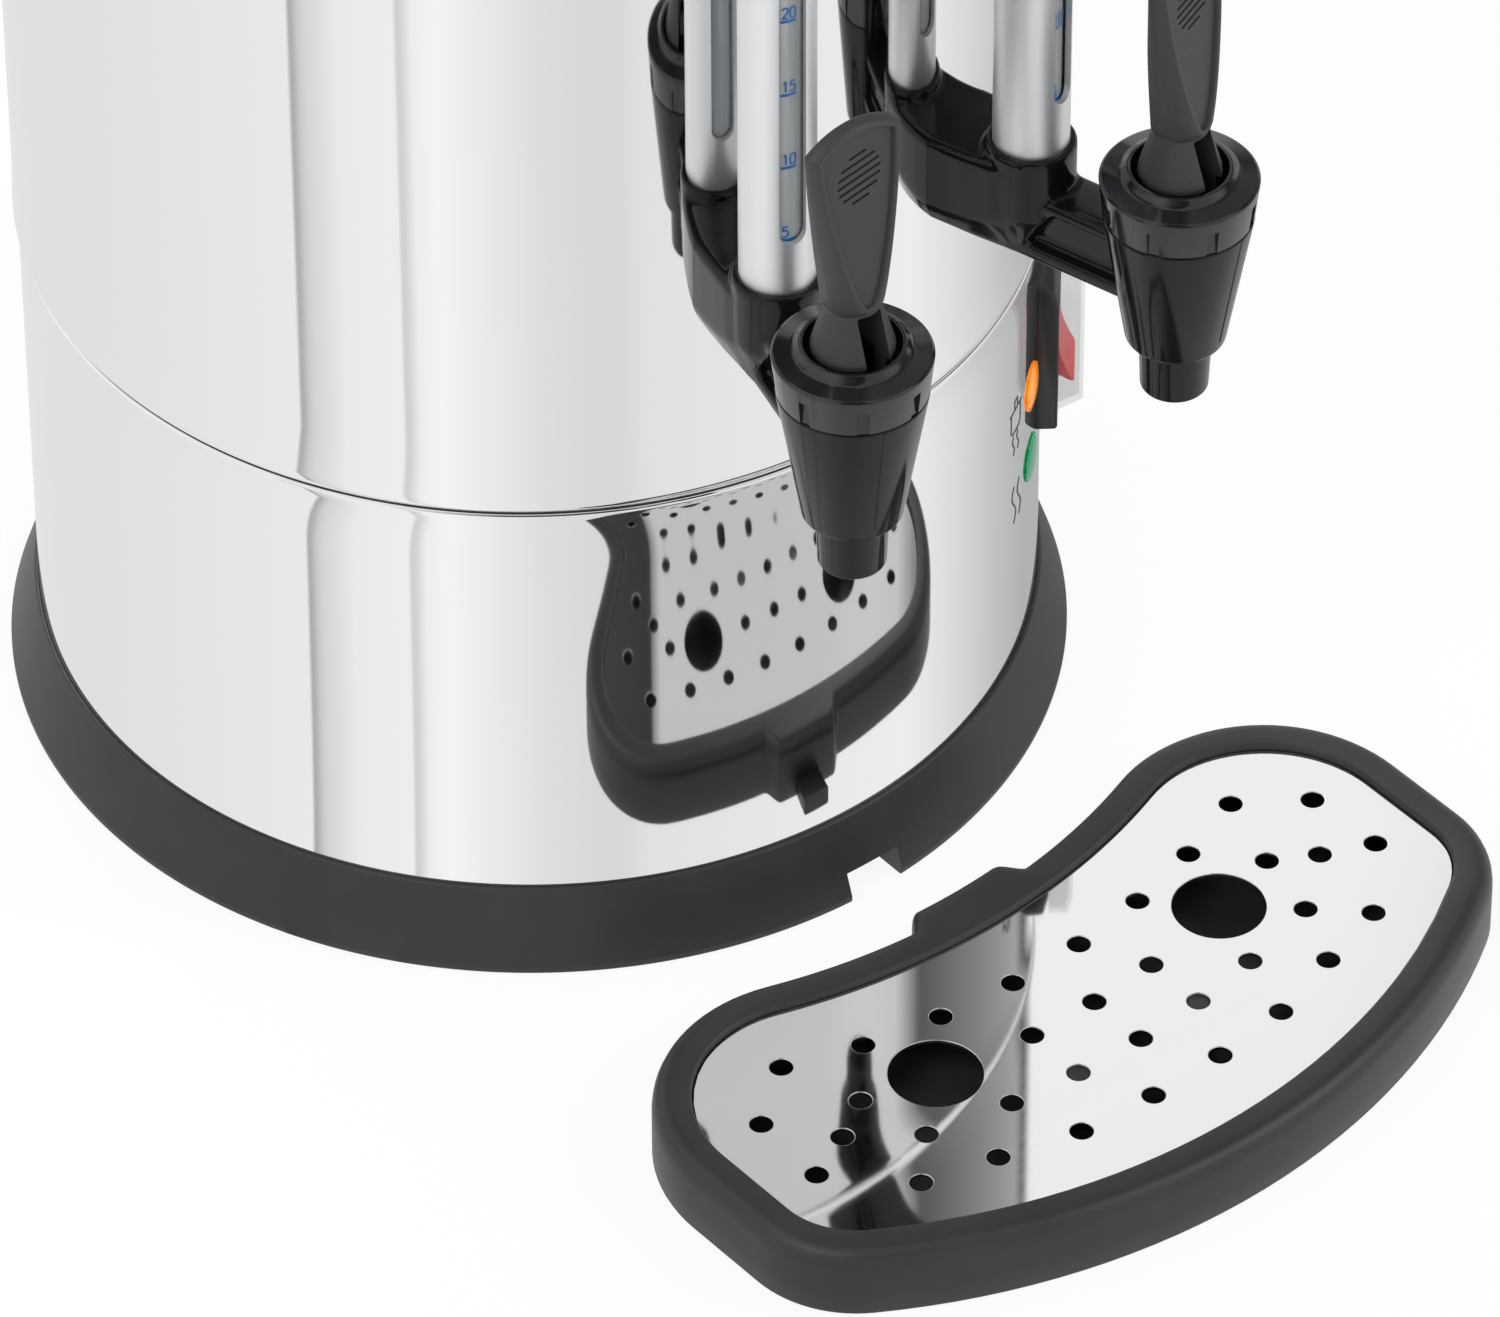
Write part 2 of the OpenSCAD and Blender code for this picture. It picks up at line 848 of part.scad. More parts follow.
module tap_arm() {
    difference() {
        translate([-arm_w / 2, -tap_r, block_z])
            cube([arm_w, tap_r - gauge_r, arm_h]);
        for (x = [-arm_w / 2, arm_w / 2 - pocket_d])
            translate([x, -tap_r, block_z + pocket_low])
                cube([pocket_d, tap_r - gauge_r, arm_h - pocket_low - pocket_high]);
    }
}

module tap_cone() {
    translate([0, 0, nozzle_z])
        cylinder(d1 = nozzle_d, d2 = nozzle_d + nozzle_taper, h = nozzle_l);
    translate([0, 0, cone_z])
        cylinder(d1 = cone_foot_d - 2 * cone_round, d2 = cone_foot_d, h = cone_round);
    translate([0, 0, cone_z + cone_round])
        cylinder(d1 = cone_foot_d, d2 = cone_d, h = collar_z - cone_z - cone_round);
    translate([0, 0, collar_z])
        cylinder(d = thread_d, h = thread_h);
}

module tap_body() {
    color("#1b1b1b")
        difference() {
            union() {
                tap_block();
                at_gauge()
                    translate([0, 0, block_z])
                        cylinder(d = socket_d, h = socket_z - block_z);
                tap_arm();
                at_tap()
                    tap_cone();
                facing_out(shank_end, shank_z)
                    cylinder(d = shank_d, h = shell_r + shank_root - shank_end);
            }
            facing_out(shank_end - 1, water_z)
                cylinder(d = shank_bore_d, h = gauge_r - shank_end + 1);
            facing_out(gauge_r, water_z)
                cylinder(d = arm_bore_d, h = tap_r - gauge_r);
            at_gauge() {
                translate([0, 0, sleeve_z])
                    cylinder(d = sleeve_d + 2 * seat_gap, h = socket_deep + 1);
                translate([0, 0, glass_z])
                    cylinder(d = seal_d + 2 * seat_gap, h = glass_deep + 1);
                translate([0, 0, water_z])
                    cylinder(d = shank_bore_d, h = glass_z - water_z + 1);
            }
            at_tap() {
                translate([0, 0, nozzle_z - 1])
                    cylinder(d = outlet_d, h = seat_z - nozzle_z + 2);
                translate([0, 0, seat_z])
                    cylinder(d = chamber_d, h = collar_z - seat_z + thread_h + 1);
                translate([0, 0, collar_z - loose_gap])
                    cylinder(d = well_cup_d + 2 * loose_gap, h = thread_h + 1);
            }
        }
}

module shank_washer() {
    color("#2c2c2c")
        difference() {
            facing_out(washer_out - washer_t, shank_z)
                cylinder(d = washer_d, h = washer_t);
            facing_out(shank_end - 1, shank_z)
                cylinder(d = shank_d + 2 * seat_gap, h = 30);
        }
}

module shank_nut() {
    color("#c9c2a8")
        difference() {
            facing_out(washer_out - washer_t - nut_t, shank_z)
                cylinder(d = nut_af / cos(30), h = nut_t, $fn = 6);
            facing_out(shank_end - 1, shank_z)
                cylinder(d = shank_d + 2 * seat_gap, h = 30);
        }
}

module bonnet() {
    r = bonnet_d / 2;
    inner_r = thread_d / 2 + seat_gap;
    thread_top = collar_z + thread_h + loose_gap;
    color("#1e1e1e")
        at_tap()
            difference() {
                rotate_extrude()
                    polygon([
                        [inner_r, collar_z],
                        [r - 2 * bonnet_bead, collar_z],
                        [r - bonnet_bead, bead_low],
                        [r, bead_wide],
                        [r, bead_high],
                        [r - bonnet_bead, bonnet_top],
                        [r - dish_edge, bonnet_top],
                        [r - dish_edge - dish_deep, bonnet_top - dish_deep],
                        [well_cup_d / 2 + dish_deep, bonnet_top - dish_deep],
                        [well_cup_d / 2, bonnet_top],
                        [well_d / 2, bonnet_top],
                        [well_d / 2, well_floor],
                        [stem_d / 2 + loose_gap, well_floor],
                        [stem_d / 2 + loose_gap, well_floor - floor_t],
                        [well_cup_d / 2, well_floor - floor_t],
                        [well_cup_d / 2, thread_top],
                        [inner_r, thread_top]
                    ]);
                for (i = [0:bonnet_notches - 1])
                    rotate([0, 0, 360 * i / bonnet_notches])
                        translate([r - 2 * bonnet_bead - notch_deep, -notch_wide / 2, collar_z - 1])
                            cube([dish_edge * 2, notch_wide, bead_low - collar_z + notch_deep]);
            }
}

// One level of the lever: a rounded slice with its front and back edges given from the tap axis
module lever_slice(w, front, back, z) {
    r = min(w, back - front) / 2 - slice_t;
    for (x = [-w / 2 + r, w / 2 - r], y = [front + r, back - r])
        translate([x, y, z])
            cylinder(r = r, h = slice_t, $fn = 32);
}

module lever_grip() {
    hull() {
        translate([0, 0, lever_z + collar_up])
            cylinder(d = lever_foot_d, h = slice_t, $fn = 32);
        lever_slice(neck_w, -neck_t / 2, neck_t / 2, neck_z);
    }
    hull() {
        lever_slice(neck_w, -neck_t / 2, neck_t / 2, neck_z);
        lever_slice(waist_w, -2 * lever_front, waist_back, waist_z);
    }
    hull() {
        lever_slice(waist_w, -2 * lever_front, waist_back, waist_z);
        intersection() {
            translate([0, paddle_t, lever_top - arch_r])
                rotate([90, 0, 0])
                    cylinder(r = arch_r, h = 2 * paddle_t, $fn = 64);
            translate([-paddle_w / 2, -lever_front, shoulder_z])
                cube([paddle_w, paddle_t - lever_front, paddle_arch]);
        }
    }
}

module lever() {
    color("#3a3b3c")
        at_tap()
            difference() {
                union() {
                    translate([0, 0, lever_z])
                        cylinder(d = lever_foot_d, h = collar_up);
                    lever_grip();
                }
                translate([-fork_w / 2, -lever_foot_d, lever_z - 1])
                    cube([fork_w, 2 * lever_foot_d, slot_up + 1]);
                translate([-lever_foot_d, 0, pin_z])
                    rotate([0, 90, 0])
                        cylinder(d = pin_d + 2 * run_gap, h = 2 * lever_foot_d);
            }
}

module lever_pin() {
    color("#a6a8aa")
        at_tap()
            translate([-lever_foot_d / 2 + pin_inset, 0, pin_z])
                rotate([0, 90, 0])
                    cylinder(d = pin_d, h = lever_foot_d - 2 * pin_inset);
}

module valve_stem() {
    color("#b0b2b4")
        at_tap()
            difference() {
                union() {
                    translate([0, 0, seat_z + cup_h - cup_bore])
                        cylinder(d = stem_d, h = pin_z - seat_z - cup_h + cup_bore);
                    translate([0, 0, seat_z + cup_h])
                        cylinder(d = collar_d, h = collar_t);
                    translate([-stem_head_w / 2, -stem_head_l / 2, pin_z - stem_head_up])
                        cube([stem_head_w, stem_head_l, 2 * stem_head_up]);
                }
                translate([-fork_w, 0, pin_z])
                    rotate([0, 90, 0])
                        cylinder(d = pin_d + 2 * run_gap, h = 2 * fork_w);
            }
}

module seat_cup() {
    color("#d9d2c3")
        at_tap()
            difference() {
                translate([0, 0, seat_z])
                    cylinder(d = cup_d, h = cup_h);
                translate([0, 0, seat_z + cup_h - cup_bore])
                    cylinder(d = stem_d + 2 * seat_gap, h = cup_bore + 1);
            }
}

// Coil spring as one swept tube: rings of points along a helix, closed at both ends
module valve_spring() {
    sides = 6;
    rings = 16 * spring_turns;
    rise = spring_top - spring_z - spring_wire;
    wire_r = spring_wire / 2 - seat_gap;
    points = [
        for (i = [0:rings], k = [0:sides - 1])
            let (a = 360 * spring_turns * i / rings, b = 360 * k / sides)
            let (r = spring_d / 2 + wire_r * cos(b))
            [r * cos(a), r * sin(a), spring_z + spring_wire / 2 + rise * i / rings + wire_r * sin(b)]
    ];
    sides_up = [
        for (i = [0:rings - 1], k = [0:sides - 1])
            let (p = i * sides + k, q = i * sides + (k + 1) % sides)
            each [[p, p + sides, q], [q, p + sides, q + sides]]
    ];
    first = [for (k = [1:sides - 2]) [0, k, k + 1]];
    end = rings * sides;
    caps = [for (k = [1:sides - 2]) [end, end + k + 1, end + k]];
    color("#c0c2c4")
        at_tap()
            polyhedron(points, concat(sides_up, first, caps));
}

// Sight gauges

module sight_sleeve() {
    color("#c3c5c7")
        at_gauge()
            difference() {
                translate([0, 0, sleeve_z])
                    cylinder(d = sleeve_d, h = sleeve_top - sleeve_z);
                translate([0, 0, sleeve_z - 1])
                    cylinder(d = sleeve_d - 2 * sleeve_t, h = sleeve_top - sleeve_z + 2);
                translate([-slot_w / 2, -sleeve_d, slot_z + slot_w / 2])
                    cube([slot_w, sleeve_d, slot_top - slot_z - slot_w]);
                for (z = [slot_z + slot_w / 2, slot_top - slot_w / 2])
                    translate([0, 0, z])
                        rotate([90, 0, 0])
                            cylinder(d = slot_w, h = sleeve_d);
            }
}

module sight_glass() {
    color("#dfeaf0", 0.45)
        at_gauge()
            translate([0, 0, glass_z])
                difference() {
                    cylinder(d = glass_d, h = glass_top - glass_z);
                    translate([0, 0, -1])
                        cylinder(d = glass_d - 2 * glass_t, h = glass_top - glass_z + 2);
                }
}

module sight_seal() {
    color("#b9b3a6")
        at_gauge()
            translate([0, 0, glass_z])
                difference() {
                    cylinder(d = seal_d, h = glass_deep - seat_gap);
                    translate([0, 0, -1])
                        cylinder(d = glass_d + 2 * seat_gap, h = glass_deep + 2);
                }
}

module sight_cap() {
    stud_z = gauge_cap_z + bracket_h / 2;
    color("#1b1b1b")
        difference() {
            union() {
                at_gauge()
                    translate([0, 0, gauge_cap_z])
                        cylinder(d = gauge_cap_d, h = gauge_cap_h);
                difference() {
                    translate([-bracket_w / 2, -gauge_r, gauge_cap_z])
                        cube([bracket_w, gauge_r - tank_r, bracket_h]);
                    cylinder(r = shell_r + seat_gap, h = shell_top);
                }
                facing_out(shell_r - stud_l, stud_z)
                    cylinder(d = stud_d, h = stud_l + shank_root);
            }
            at_gauge() {
                translate([0, 0, gauge_cap_z - 1])
                    cylinder(d = sleeve_d + 2 * seat_gap, h = sleeve_top - gauge_cap_z + 1);
                translate([0, 0, gauge_cap_z])
                    cylinder(d = glass_d + 2 * seat_gap, h = glass_top - gauge_cap_z + seat_gap);
            }
        }
}

// Switch and lamps on the skirt

module switch_bezel() {
    low = switch_z - bezel_h / 2;
    high = switch_z + bezel_h / 2;
    back = skirt_r - bezel_back;
    color("#242424")
        at_angle(switch_angle)
            difference() {
                translate([-bezel_w / 2, 0, 0])
                    rotate([90, 0, 90])
                        linear_extrude(bezel_w)
                            polygon([
                                [-back, low],
                                [-bezel_y, low + bezel_d / 4],
                                [-bezel_y, high - bezel_d / 2],
                                [-back, high]
                            ]);
                cylinder(r = skirt_r + seat_gap, h = seam_z, $fn = 360);
                translate([-switch_w / 2, -bezel_y - 1, switch_z - switch_h / 2])
                    cube([switch_w, 20, switch_h]);
            }
}

// Box whose front edges are bevelled, from one distance in front of the axis to another
module bevelled_box(w, h, from, to, bevel) {
    hull() {
        translate([-w / 2, -(to - bevel), -h / 2])
            cube([w, to - bevel - from, h]);
        translate([-w / 2 + bevel, -to, -h / 2 + bevel])
            cube([w - 2 * bevel, to - from, h - 2 * bevel]);
    }
}

module switch_cover() {
    color("#e8edf0", 0.35)
        at_angle(switch_angle)
            translate([0, 0, switch_z])
                difference() {
                    bevelled_box(cover_w, cover_h, bezel_y, bezel_y + cover_d, cover_bevel);
                    bevelled_box(
                        cover_w - 2 * cover_wall,
                        cover_h - 2 * cover_wall,
                        bezel_y - 1,
                        bezel_y + cover_d - cover_wall,
                        cover_bevel - cover_wall / 2
                    );
                }
}

module switch_body() {
    w = switch_w - 2 * body_gap;
    h = switch_h - 2 * body_gap;
    rear = skirt_r - body_back;
    color("#1d1d1d")
        at_angle(switch_angle) {
            difference() {
                translate([-w / 2, -body_front, switch_z - h / 2])
                    cube([w, body_front - rear, h]);
                translate([-pocket_w / 2, -body_front - 1, switch_z - pocket_l / 2])
                    cube([pocket_w, pocket_deep + 1, pocket_l]);
                translate([-w, -pivot_y, switch_z])
                    rotate([0, 90, 0])
                        cylinder(d = pivot_d + 2 * run_gap, h = 2 * w);
            }
            for (z = [-h / 4, h / 4])
                translate([-blade[0] / 2, -rear, switch_z + z])
                    cube(blade);
        }
}

module rocker() {
    half = rocker_l / 2;
    color("#c8201c")
        at_angle(switch_angle)
            translate([0, -pivot_y, switch_z])
                rotate([-rocker_tilt, 0, 0]) {
                    translate([-rocker_w / 2, 0, 0])
                        rotate([90, 0, 90])
                            linear_extrude(rocker_w)
                                polygon([
                                    [0, -half + rocker_cut],
                                    [-rocker_end, -half],
                                    [-rocker_mid, 0],
                                    [-rocker_end, half],
                                    [0, half - rocker_cut],
                                    [rocker_back, 0]
                                ]);
                    translate([-pivot_l / 2, 0, 0])
                        rotate([0, 90, 0])
                            cylinder(d = pivot_d, h = pivot_l);
                }
}

// Domed lamp lens with its body through the skirt
module lamp(z) {
    r = lamp_d / 2;
    steps = 6;
    turns = [for (i = [0:steps]) 90 * i / steps];
    at_angle(lamp_angle)
        facing_out(skirt_r + seat_gap, z)
            rotate_extrude()
                polygon(concat(
                    [[0, -lamp_body_l], [lamp_body_d / 2, -lamp_body_l], [lamp_body_d / 2, 0], [r, 0]],
                    [for (a = turns) [r * cos(a), lens_flange + lens_rise * sin(a)]]
                ));
}

module amber_lamp() {
    color("#f39a12")
        lamp(amber_z);
}

module green_lamp() {
    color("#12935a")
        lamp(green_z);
}

module lamp_clips() {
    clip_out = sqrt(pow(skirt_r - sheet_t, 2) - pow(clip_d / 2, 2)) - seat_gap;
    color("#d8d8d2")
        for (z = [amber_z, green_z])
            at_angle(lamp_angle)
                difference() {
                    facing_out(clip_out - clip_t, z)
                        cylinder(d = clip_d, h = clip_t);
                    facing_out(clip_out - clip_t - 1, z)
                        cylinder(d = lamp_body_d + 2 * seat_gap, h = clip_t + 2);
                }
}

// Drip tray and grate

// Outline of the tray, drawn in by a distance all round
module tray_outline(in) {
    lobe_turn = atan2(rear_c - lobe_y, -lobe_x);
    corner_turn = atan2(corner_y - front_c, corner_x);
    right_half = concat(
        arc([0, front_c], tray_front_r - in, -90, corner_turn, 8),
        arc([corner_x, corner_y], tray_corner_r - in, corner_turn, 0, 8),
        arc([lobe_x, lobe_y], tray_lobe_r - in, 0, lobe_turn, 12),
        arc([0, rear_c], tray_rear_r + in, lobe_turn - 180, -90, 8)
    );
    left_half = [for (i = [len(right_half) - 2:-1:1]) [-right_half[i][0], right_half[i][1]]];
    polygon(concat(right_half, left_half));
}

module drip_tray() {
    color("#2b2b2b")
        difference() {
            union() {
                linear_extrude(tray_h)
                    union() {
                        tray_outline(0);
                        translate([-tab_w / 2, tab_back - 2 * tab_d])
                            square([tab_w, 2 * tab_d]);
                    }
                translate([-hook_w / 2, tab_back - 1, 0])
                    cube([hook_w, hook_l + 1, hook_h]);
            }
            translate([0, 0, grate_z])
                linear_extrude(tray_h)
                    tray_outline(tray_rim);
            difference() {
                translate([0, 0, tray_wall])
                    linear_extrude(tray_h)
                        tray_outline(tray_rim + tray_ledge);
                for (s = [-1, 1])
                    translate([s * post_at[0], post_at[1] - tray_y, 0])
                        cylinder(d = post_d, h = grate_z);
            }
        }
}

module drip_grate() {
    color("#d2d4d6")
        translate([0, 0, grate_z])
            difference() {
                linear_extrude(grate_t)
                    tray_outline(tray_rim + grate_gap);
                for (s = [-1, 1]) {
                    translate([s * big_hole_x, -tray_y, -1])
                        cylinder(d = big_hole_d, h = grate_t + 2);
                    for (row = drain_rows, a = row[1])
                        if (s > 0 || a > 0)
                            at_angle(s * a)
                                translate([0, -tray_y - row[0] * drain_pitch, -1])
                                    cylinder(d = small_hole_d, h = grate_t + 2);
                }
            }
}

// Every node, drawn alone or together

base_ring();
rubber_feet();
bottom_plate();
bottom_screws();
lower_skirt();
outer_shell();
tank();
heating_element();
thermostat();
thermal_cutout();
terminal_block();
heater_leads();
cable_gland();
gland_nut();
top_rim();
lid();
lid_knob();
left_handle();
right_handle();
handle_screws();
at_angle(-tap_angle) tap_body();  // left_tap_body
at_angle(-tap_angle) shank_washer();  // left_shank_washer
at_angle(-tap_angle) shank_nut();  // left_shank_nut
at_angle(-tap_angle) bonnet();  // left_bonnet
at_angle(-tap_angle) about_tap(left_lever_turn) lever();  // left_lever
at_angle(-tap_angle) about_tap(left_lever_turn) lever_pin();  // left_lever_pin
at_angle(-tap_angle) about_tap(left_lever_turn) valve_stem();  // left_valve_stem
at_angle(-tap_angle) seat_cup();  // left_seat_cup
at_angle(-tap_angle) valve_spring();  // left_valve_spring
at_angle(-tap_angle) sight_sleeve();  // left_sight_sleeve
at_angle(-tap_angle) sight_glass();  // left_sight_glass
at_angle(-tap_angle) sight_seal();  // left_sight_seal
at_angle(-tap_angle) sight_cap();  // left_sight_cap
at_angle(tap_angle) tap_body();  // right_tap_body
at_angle(tap_angle) shank_washer();  // right_shank_washer
at_angle(tap_angle) shank_nut();  // right_shank_nut
at_angle(tap_angle) bonnet();  // right_bonnet
at_angle(tap_angle) lever();  // right_lever
at_angle(tap_angle) lever_pin();  // right_lever_pin
at_angle(tap_angle) valve_stem();  // right_valve_stem
at_angle(tap_angle) seat_cup();  // right_seat_cup
at_angle(tap_angle) valve_spring();  // right_valve_spring
at_angle(tap_angle) sight_sleeve();  // right_sight_sleeve
at_angle(tap_angle) sight_glass();  // right_sight_glass
at_angle(tap_angle) sight_seal();  // right_sight_seal
at_angle(tap_angle) sight_cap();  // right_sight_cap
switch_bezel();
switch_cover();
switch_body();
rocker();
amber_lamp();
green_lamp();
lamp_clips();
at_angle(tray_turn) drip_tray();
at_angle(tray_turn) drip_grate();
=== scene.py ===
"""Looks of the hot water dispenser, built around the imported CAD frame. Lengths in the code are in millimetres."""

import math

import bmesh
import bpy
from mathutils import Matrix, Vector


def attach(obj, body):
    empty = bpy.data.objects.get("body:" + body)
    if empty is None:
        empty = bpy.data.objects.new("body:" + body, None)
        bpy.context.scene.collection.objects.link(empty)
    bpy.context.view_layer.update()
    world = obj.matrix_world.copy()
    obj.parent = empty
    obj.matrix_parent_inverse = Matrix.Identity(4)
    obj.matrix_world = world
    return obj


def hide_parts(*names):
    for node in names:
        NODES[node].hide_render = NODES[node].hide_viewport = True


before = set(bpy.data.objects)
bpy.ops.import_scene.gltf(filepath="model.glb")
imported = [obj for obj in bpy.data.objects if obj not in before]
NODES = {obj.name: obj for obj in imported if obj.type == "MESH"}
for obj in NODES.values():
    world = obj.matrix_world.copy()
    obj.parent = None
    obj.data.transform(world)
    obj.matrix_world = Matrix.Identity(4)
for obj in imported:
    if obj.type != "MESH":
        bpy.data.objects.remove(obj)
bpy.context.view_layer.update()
MM = 0.001

# Places shared with the CAD part
SHELL_R = 130.8
SKIRT_R = 130.0
SEAM_Z = 147.6
SHELL_TOP = 452.0
RING_H = 22.9
TAP_ANGLE = 15.2
TAP_R = 195.4
GAUGE_R = 152.2
SWITCH_ANGLE = 48.5
LAMP_ANGLE = 38.3
SIDES = {"left": -TAP_ANGLE, "right": TAP_ANGLE}

# Steps round a wall of the body
WALL_STEPS = 288


# Mesh helpers

def turned(degrees):
    """Turns a shape built at the front of the body to an angle, positive towards +X."""
    return Matrix.Rotation(math.radians(degrees), 4, "Z")


def moved(x, y, z):
    return Matrix.Translation((x, y, z))


def rounded(corners, steps=5):
    """Closed outline of (x, y, radius) corners with each corner turned into an arc."""
    out = []
    for i, (x, y, radius) in enumerate(corners):
        p = Vector((x, y))
        before = Vector(corners[i - 1][:2]) - p
        after = Vector(corners[(i + 1) % len(corners)][:2]) - p
        if radius <= 0:
            out.append((x, y))
            continue
        u, v = before.normalized(), after.normalized()
        half = max(math.acos(max(-1.0, min(1.0, u.dot(v)))) / 2, 0.01)
        run = min(radius / math.tan(half), 0.49 * before.length, 0.49 * after.length)
        r = run * math.tan(half)
        centre = p + (u + v).normalized() * (r / math.sin(half))
        start, end = p + u * run - centre, p + v * run - centre
        for k in range(steps + 1):
            d = start.lerp(end, k / steps)
            out.append(tuple(centre + d.normalized() * r))
    return out


def lathe(profile, segments=96, closed=True):
    """Vertices and faces of a half section of (r, z) points turned about Z."""
    verts, faces = [], []
    n = len(profile)
    for s in range(segments):
        a = 2 * math.pi * s / segments
        verts += [(r * math.cos(a), r * math.sin(a), z) for r, z in profile]
    for s in range(segments):
        t = (s + 1) % segments
        for k in range(n if closed else n - 1):
            j = (k + 1) % n
            if max(profile[k][0], profile[j][0]) > 1e-6:
                faces.append((s * n + k, t * n + k, t * n + j, s * n + j))
    return verts, faces


def loft(loops, caps=(True, True)):
    """Vertices and faces of equal closed loops of 3-D points joined in order, with flat ends."""
    n = len(loops[0])
    verts = [p for loop in loops for p in loop]
    faces = []
    for i in range(len(loops) - 1):
        for k in range(n):
            j = (k + 1) % n
            faces.append((i * n + k, i * n + j, (i + 1) * n + j, (i + 1) * n + k))
    if caps[0]:
        faces.append(tuple(range(n - 1, -1, -1)))
    if caps[1]:
        last = (len(loops) - 1) * n
        faces.append(tuple(range(last, last + n)))
    return verts, faces


def merged(*parts):
    """Several (vertices, faces) as one."""
    verts, faces = [], []
    for v, f in parts:
        base = len(verts)
        verts += list(v)
        faces += [tuple(i + base for i in face) for face in f]
    return verts, faces


def mesh_object(name, part, place=None, sharp=35.0):
    """A linked mesh object from millimetre vertices, cleaned, with outward normals and sharp edges by angle."""
    verts = part[0] if place is None else [tuple(place @ Vector(v)) for v in part[0]]
    mesh = bpy.data.meshes.new(name)
    mesh.from_pydata([tuple(c * MM for c in v) for v in verts], [], part[1])
    bm = bmesh.new()
    bm.from_mesh(mesh)
    bmesh.ops.remove_doubles(bm, verts=bm.verts, dist=1e-6)
    bmesh.ops.dissolve_degenerate(bm, edges=bm.edges, dist=1e-7)
    bmesh.ops.recalc_face_normals(bm, faces=bm.faces)
    bm.to_mesh(mesh)
    bm.free()
    mesh.shade_smooth()
    mesh.set_sharp_from_angle(angle=math.radians(sharp))
    obj = bpy.data.objects.new(name, mesh)
    bpy.context.scene.collection.objects.link(obj)
    return obj


def baked(obj, sharp=35.0):
    """Applies an object's modifiers to its mesh."""
    bpy.context.view_layer.update()
    dg = bpy.context.evaluated_depsgraph_get()
    mesh = bpy.data.meshes.new_from_object(obj.evaluated_get(dg))
    mesh.name = obj.name
    obj.modifiers.clear()
    obj.data = mesh
    mesh.shade_smooth()
    mesh.set_sharp_from_angle(angle=math.radians(sharp))
    return obj


def cut(obj, part, place=None, how="DIFFERENCE", sharp=35.0):
    """Cuts a closed part out of an object, or joins it on."""
    tool = mesh_object("cutter", part, place)
    change = obj.modifiers.new("cut", "BOOLEAN")
    change.operation = how
    change.solver = "EXACT"
    change.object = tool
    baked(obj, sharp)
    bpy.data.objects.remove(tool)
    return obj


def piece(obj, finish, body, slot, *replaced):
    """Gives a new piece its material and body, and hides the CAD nodes it stands for; the record slot is not used."""
    obj.data.materials.clear()
    obj.data.materials.append(finish)
    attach(obj, body)
    if replaced:
        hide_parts(*replaced)
    return obj


def dress(node, finish, bevel=0.0, segments=3):
    """A CAD node keeps its shape and gets a material, and its edges are eased by a small bevel."""
    obj = NODES[node]
    obj.data.materials.clear()
    obj.data.materials.append(finish)
    if bevel:
        weld = obj.modifiers.new("weld", "WELD")
        weld.merge_threshold = 1e-6
        ease = obj.modifiers.new("ease", "BEVEL")
        ease.width = bevel * MM
        ease.segments = segments
        ease.limit_method = "ANGLE"
        ease.angle_limit = math.radians(40)
        ease.harden_normals = True
    return obj


# Materials

def shader(name):
    mat = bpy.data.materials.new(name)
    mat.use_nodes = True
    return mat, mat.node_tree, mat.node_tree.nodes["Principled BSDF"]


def noise_of(tree, scale, detail=2.0, stretch=(1.0, 1.0, 1.0)):
    """Noise over the part's own coordinates in metres, drawn out along an axis by a small stretch value."""
    where = tree.nodes.new("ShaderNodeTexCoord")
    mapping = tree.nodes.new("ShaderNodeMapping")
    mapping.inputs["Scale"].default_value = stretch
    noise = tree.nodes.new("ShaderNodeTexNoise")
    noise.inputs["Scale"].default_value = scale
    noise.inputs["Detail"].default_value = detail
    tree.links.new(where.outputs["Object"], mapping.inputs["Vector"])
    tree.links.new(mapping.outputs["Vector"], noise.inputs["Vector"])
    return noise.outputs["Fac"]


def surface(name, dark, light, rough, blotch=30.0, grain=1500.0, relief=0.0, stretch=(1.0, 1.0, 1.0), sockets=None):
    """A material whose colour drifts between two shades and whose roughness and relief follow a fine grain."""
    mat, tree, bsdf = shader(name)
    ramp = tree.nodes.new("ShaderNodeValToRGB")
    for element, place, colour in zip(ramp.color_ramp.elements, (0.32, 0.68), (dark, light)):
        element.position = place
        element.color = (*colour, 1.0)
    tree.links.new(noise_of(tree, blotch, 4.0, stretch), ramp.inputs["Fac"])
    tree.links.new(ramp.outputs["Color"], bsdf.inputs["Base Color"])
    fine = noise_of(tree, grain, 2.0, stretch)
    spread = tree.nodes.new("ShaderNodeMapRange")
    spread.inputs["To Min"].default_value = rough[0]
    spread.inputs["To Max"].default_value = rough[1]
    tree.links.new(fine, spread.inputs["Value"])
    tree.links.new(spread.outputs["Result"], bsdf.inputs["Roughness"])
    if relief:
        bump = tree.nodes.new("ShaderNodeBump")
        bump.inputs["Distance"].default_value = relief * MM
        bump.inputs["Strength"].default_value = 0.5
        tree.links.new(fine, bump.inputs["Height"])
        tree.links.new(bump.outputs["Normal"], bsdf.inputs["Normal"])
    for key, value in (sockets or {}).items():
        bsdf.inputs[key].default_value = value
    return mat


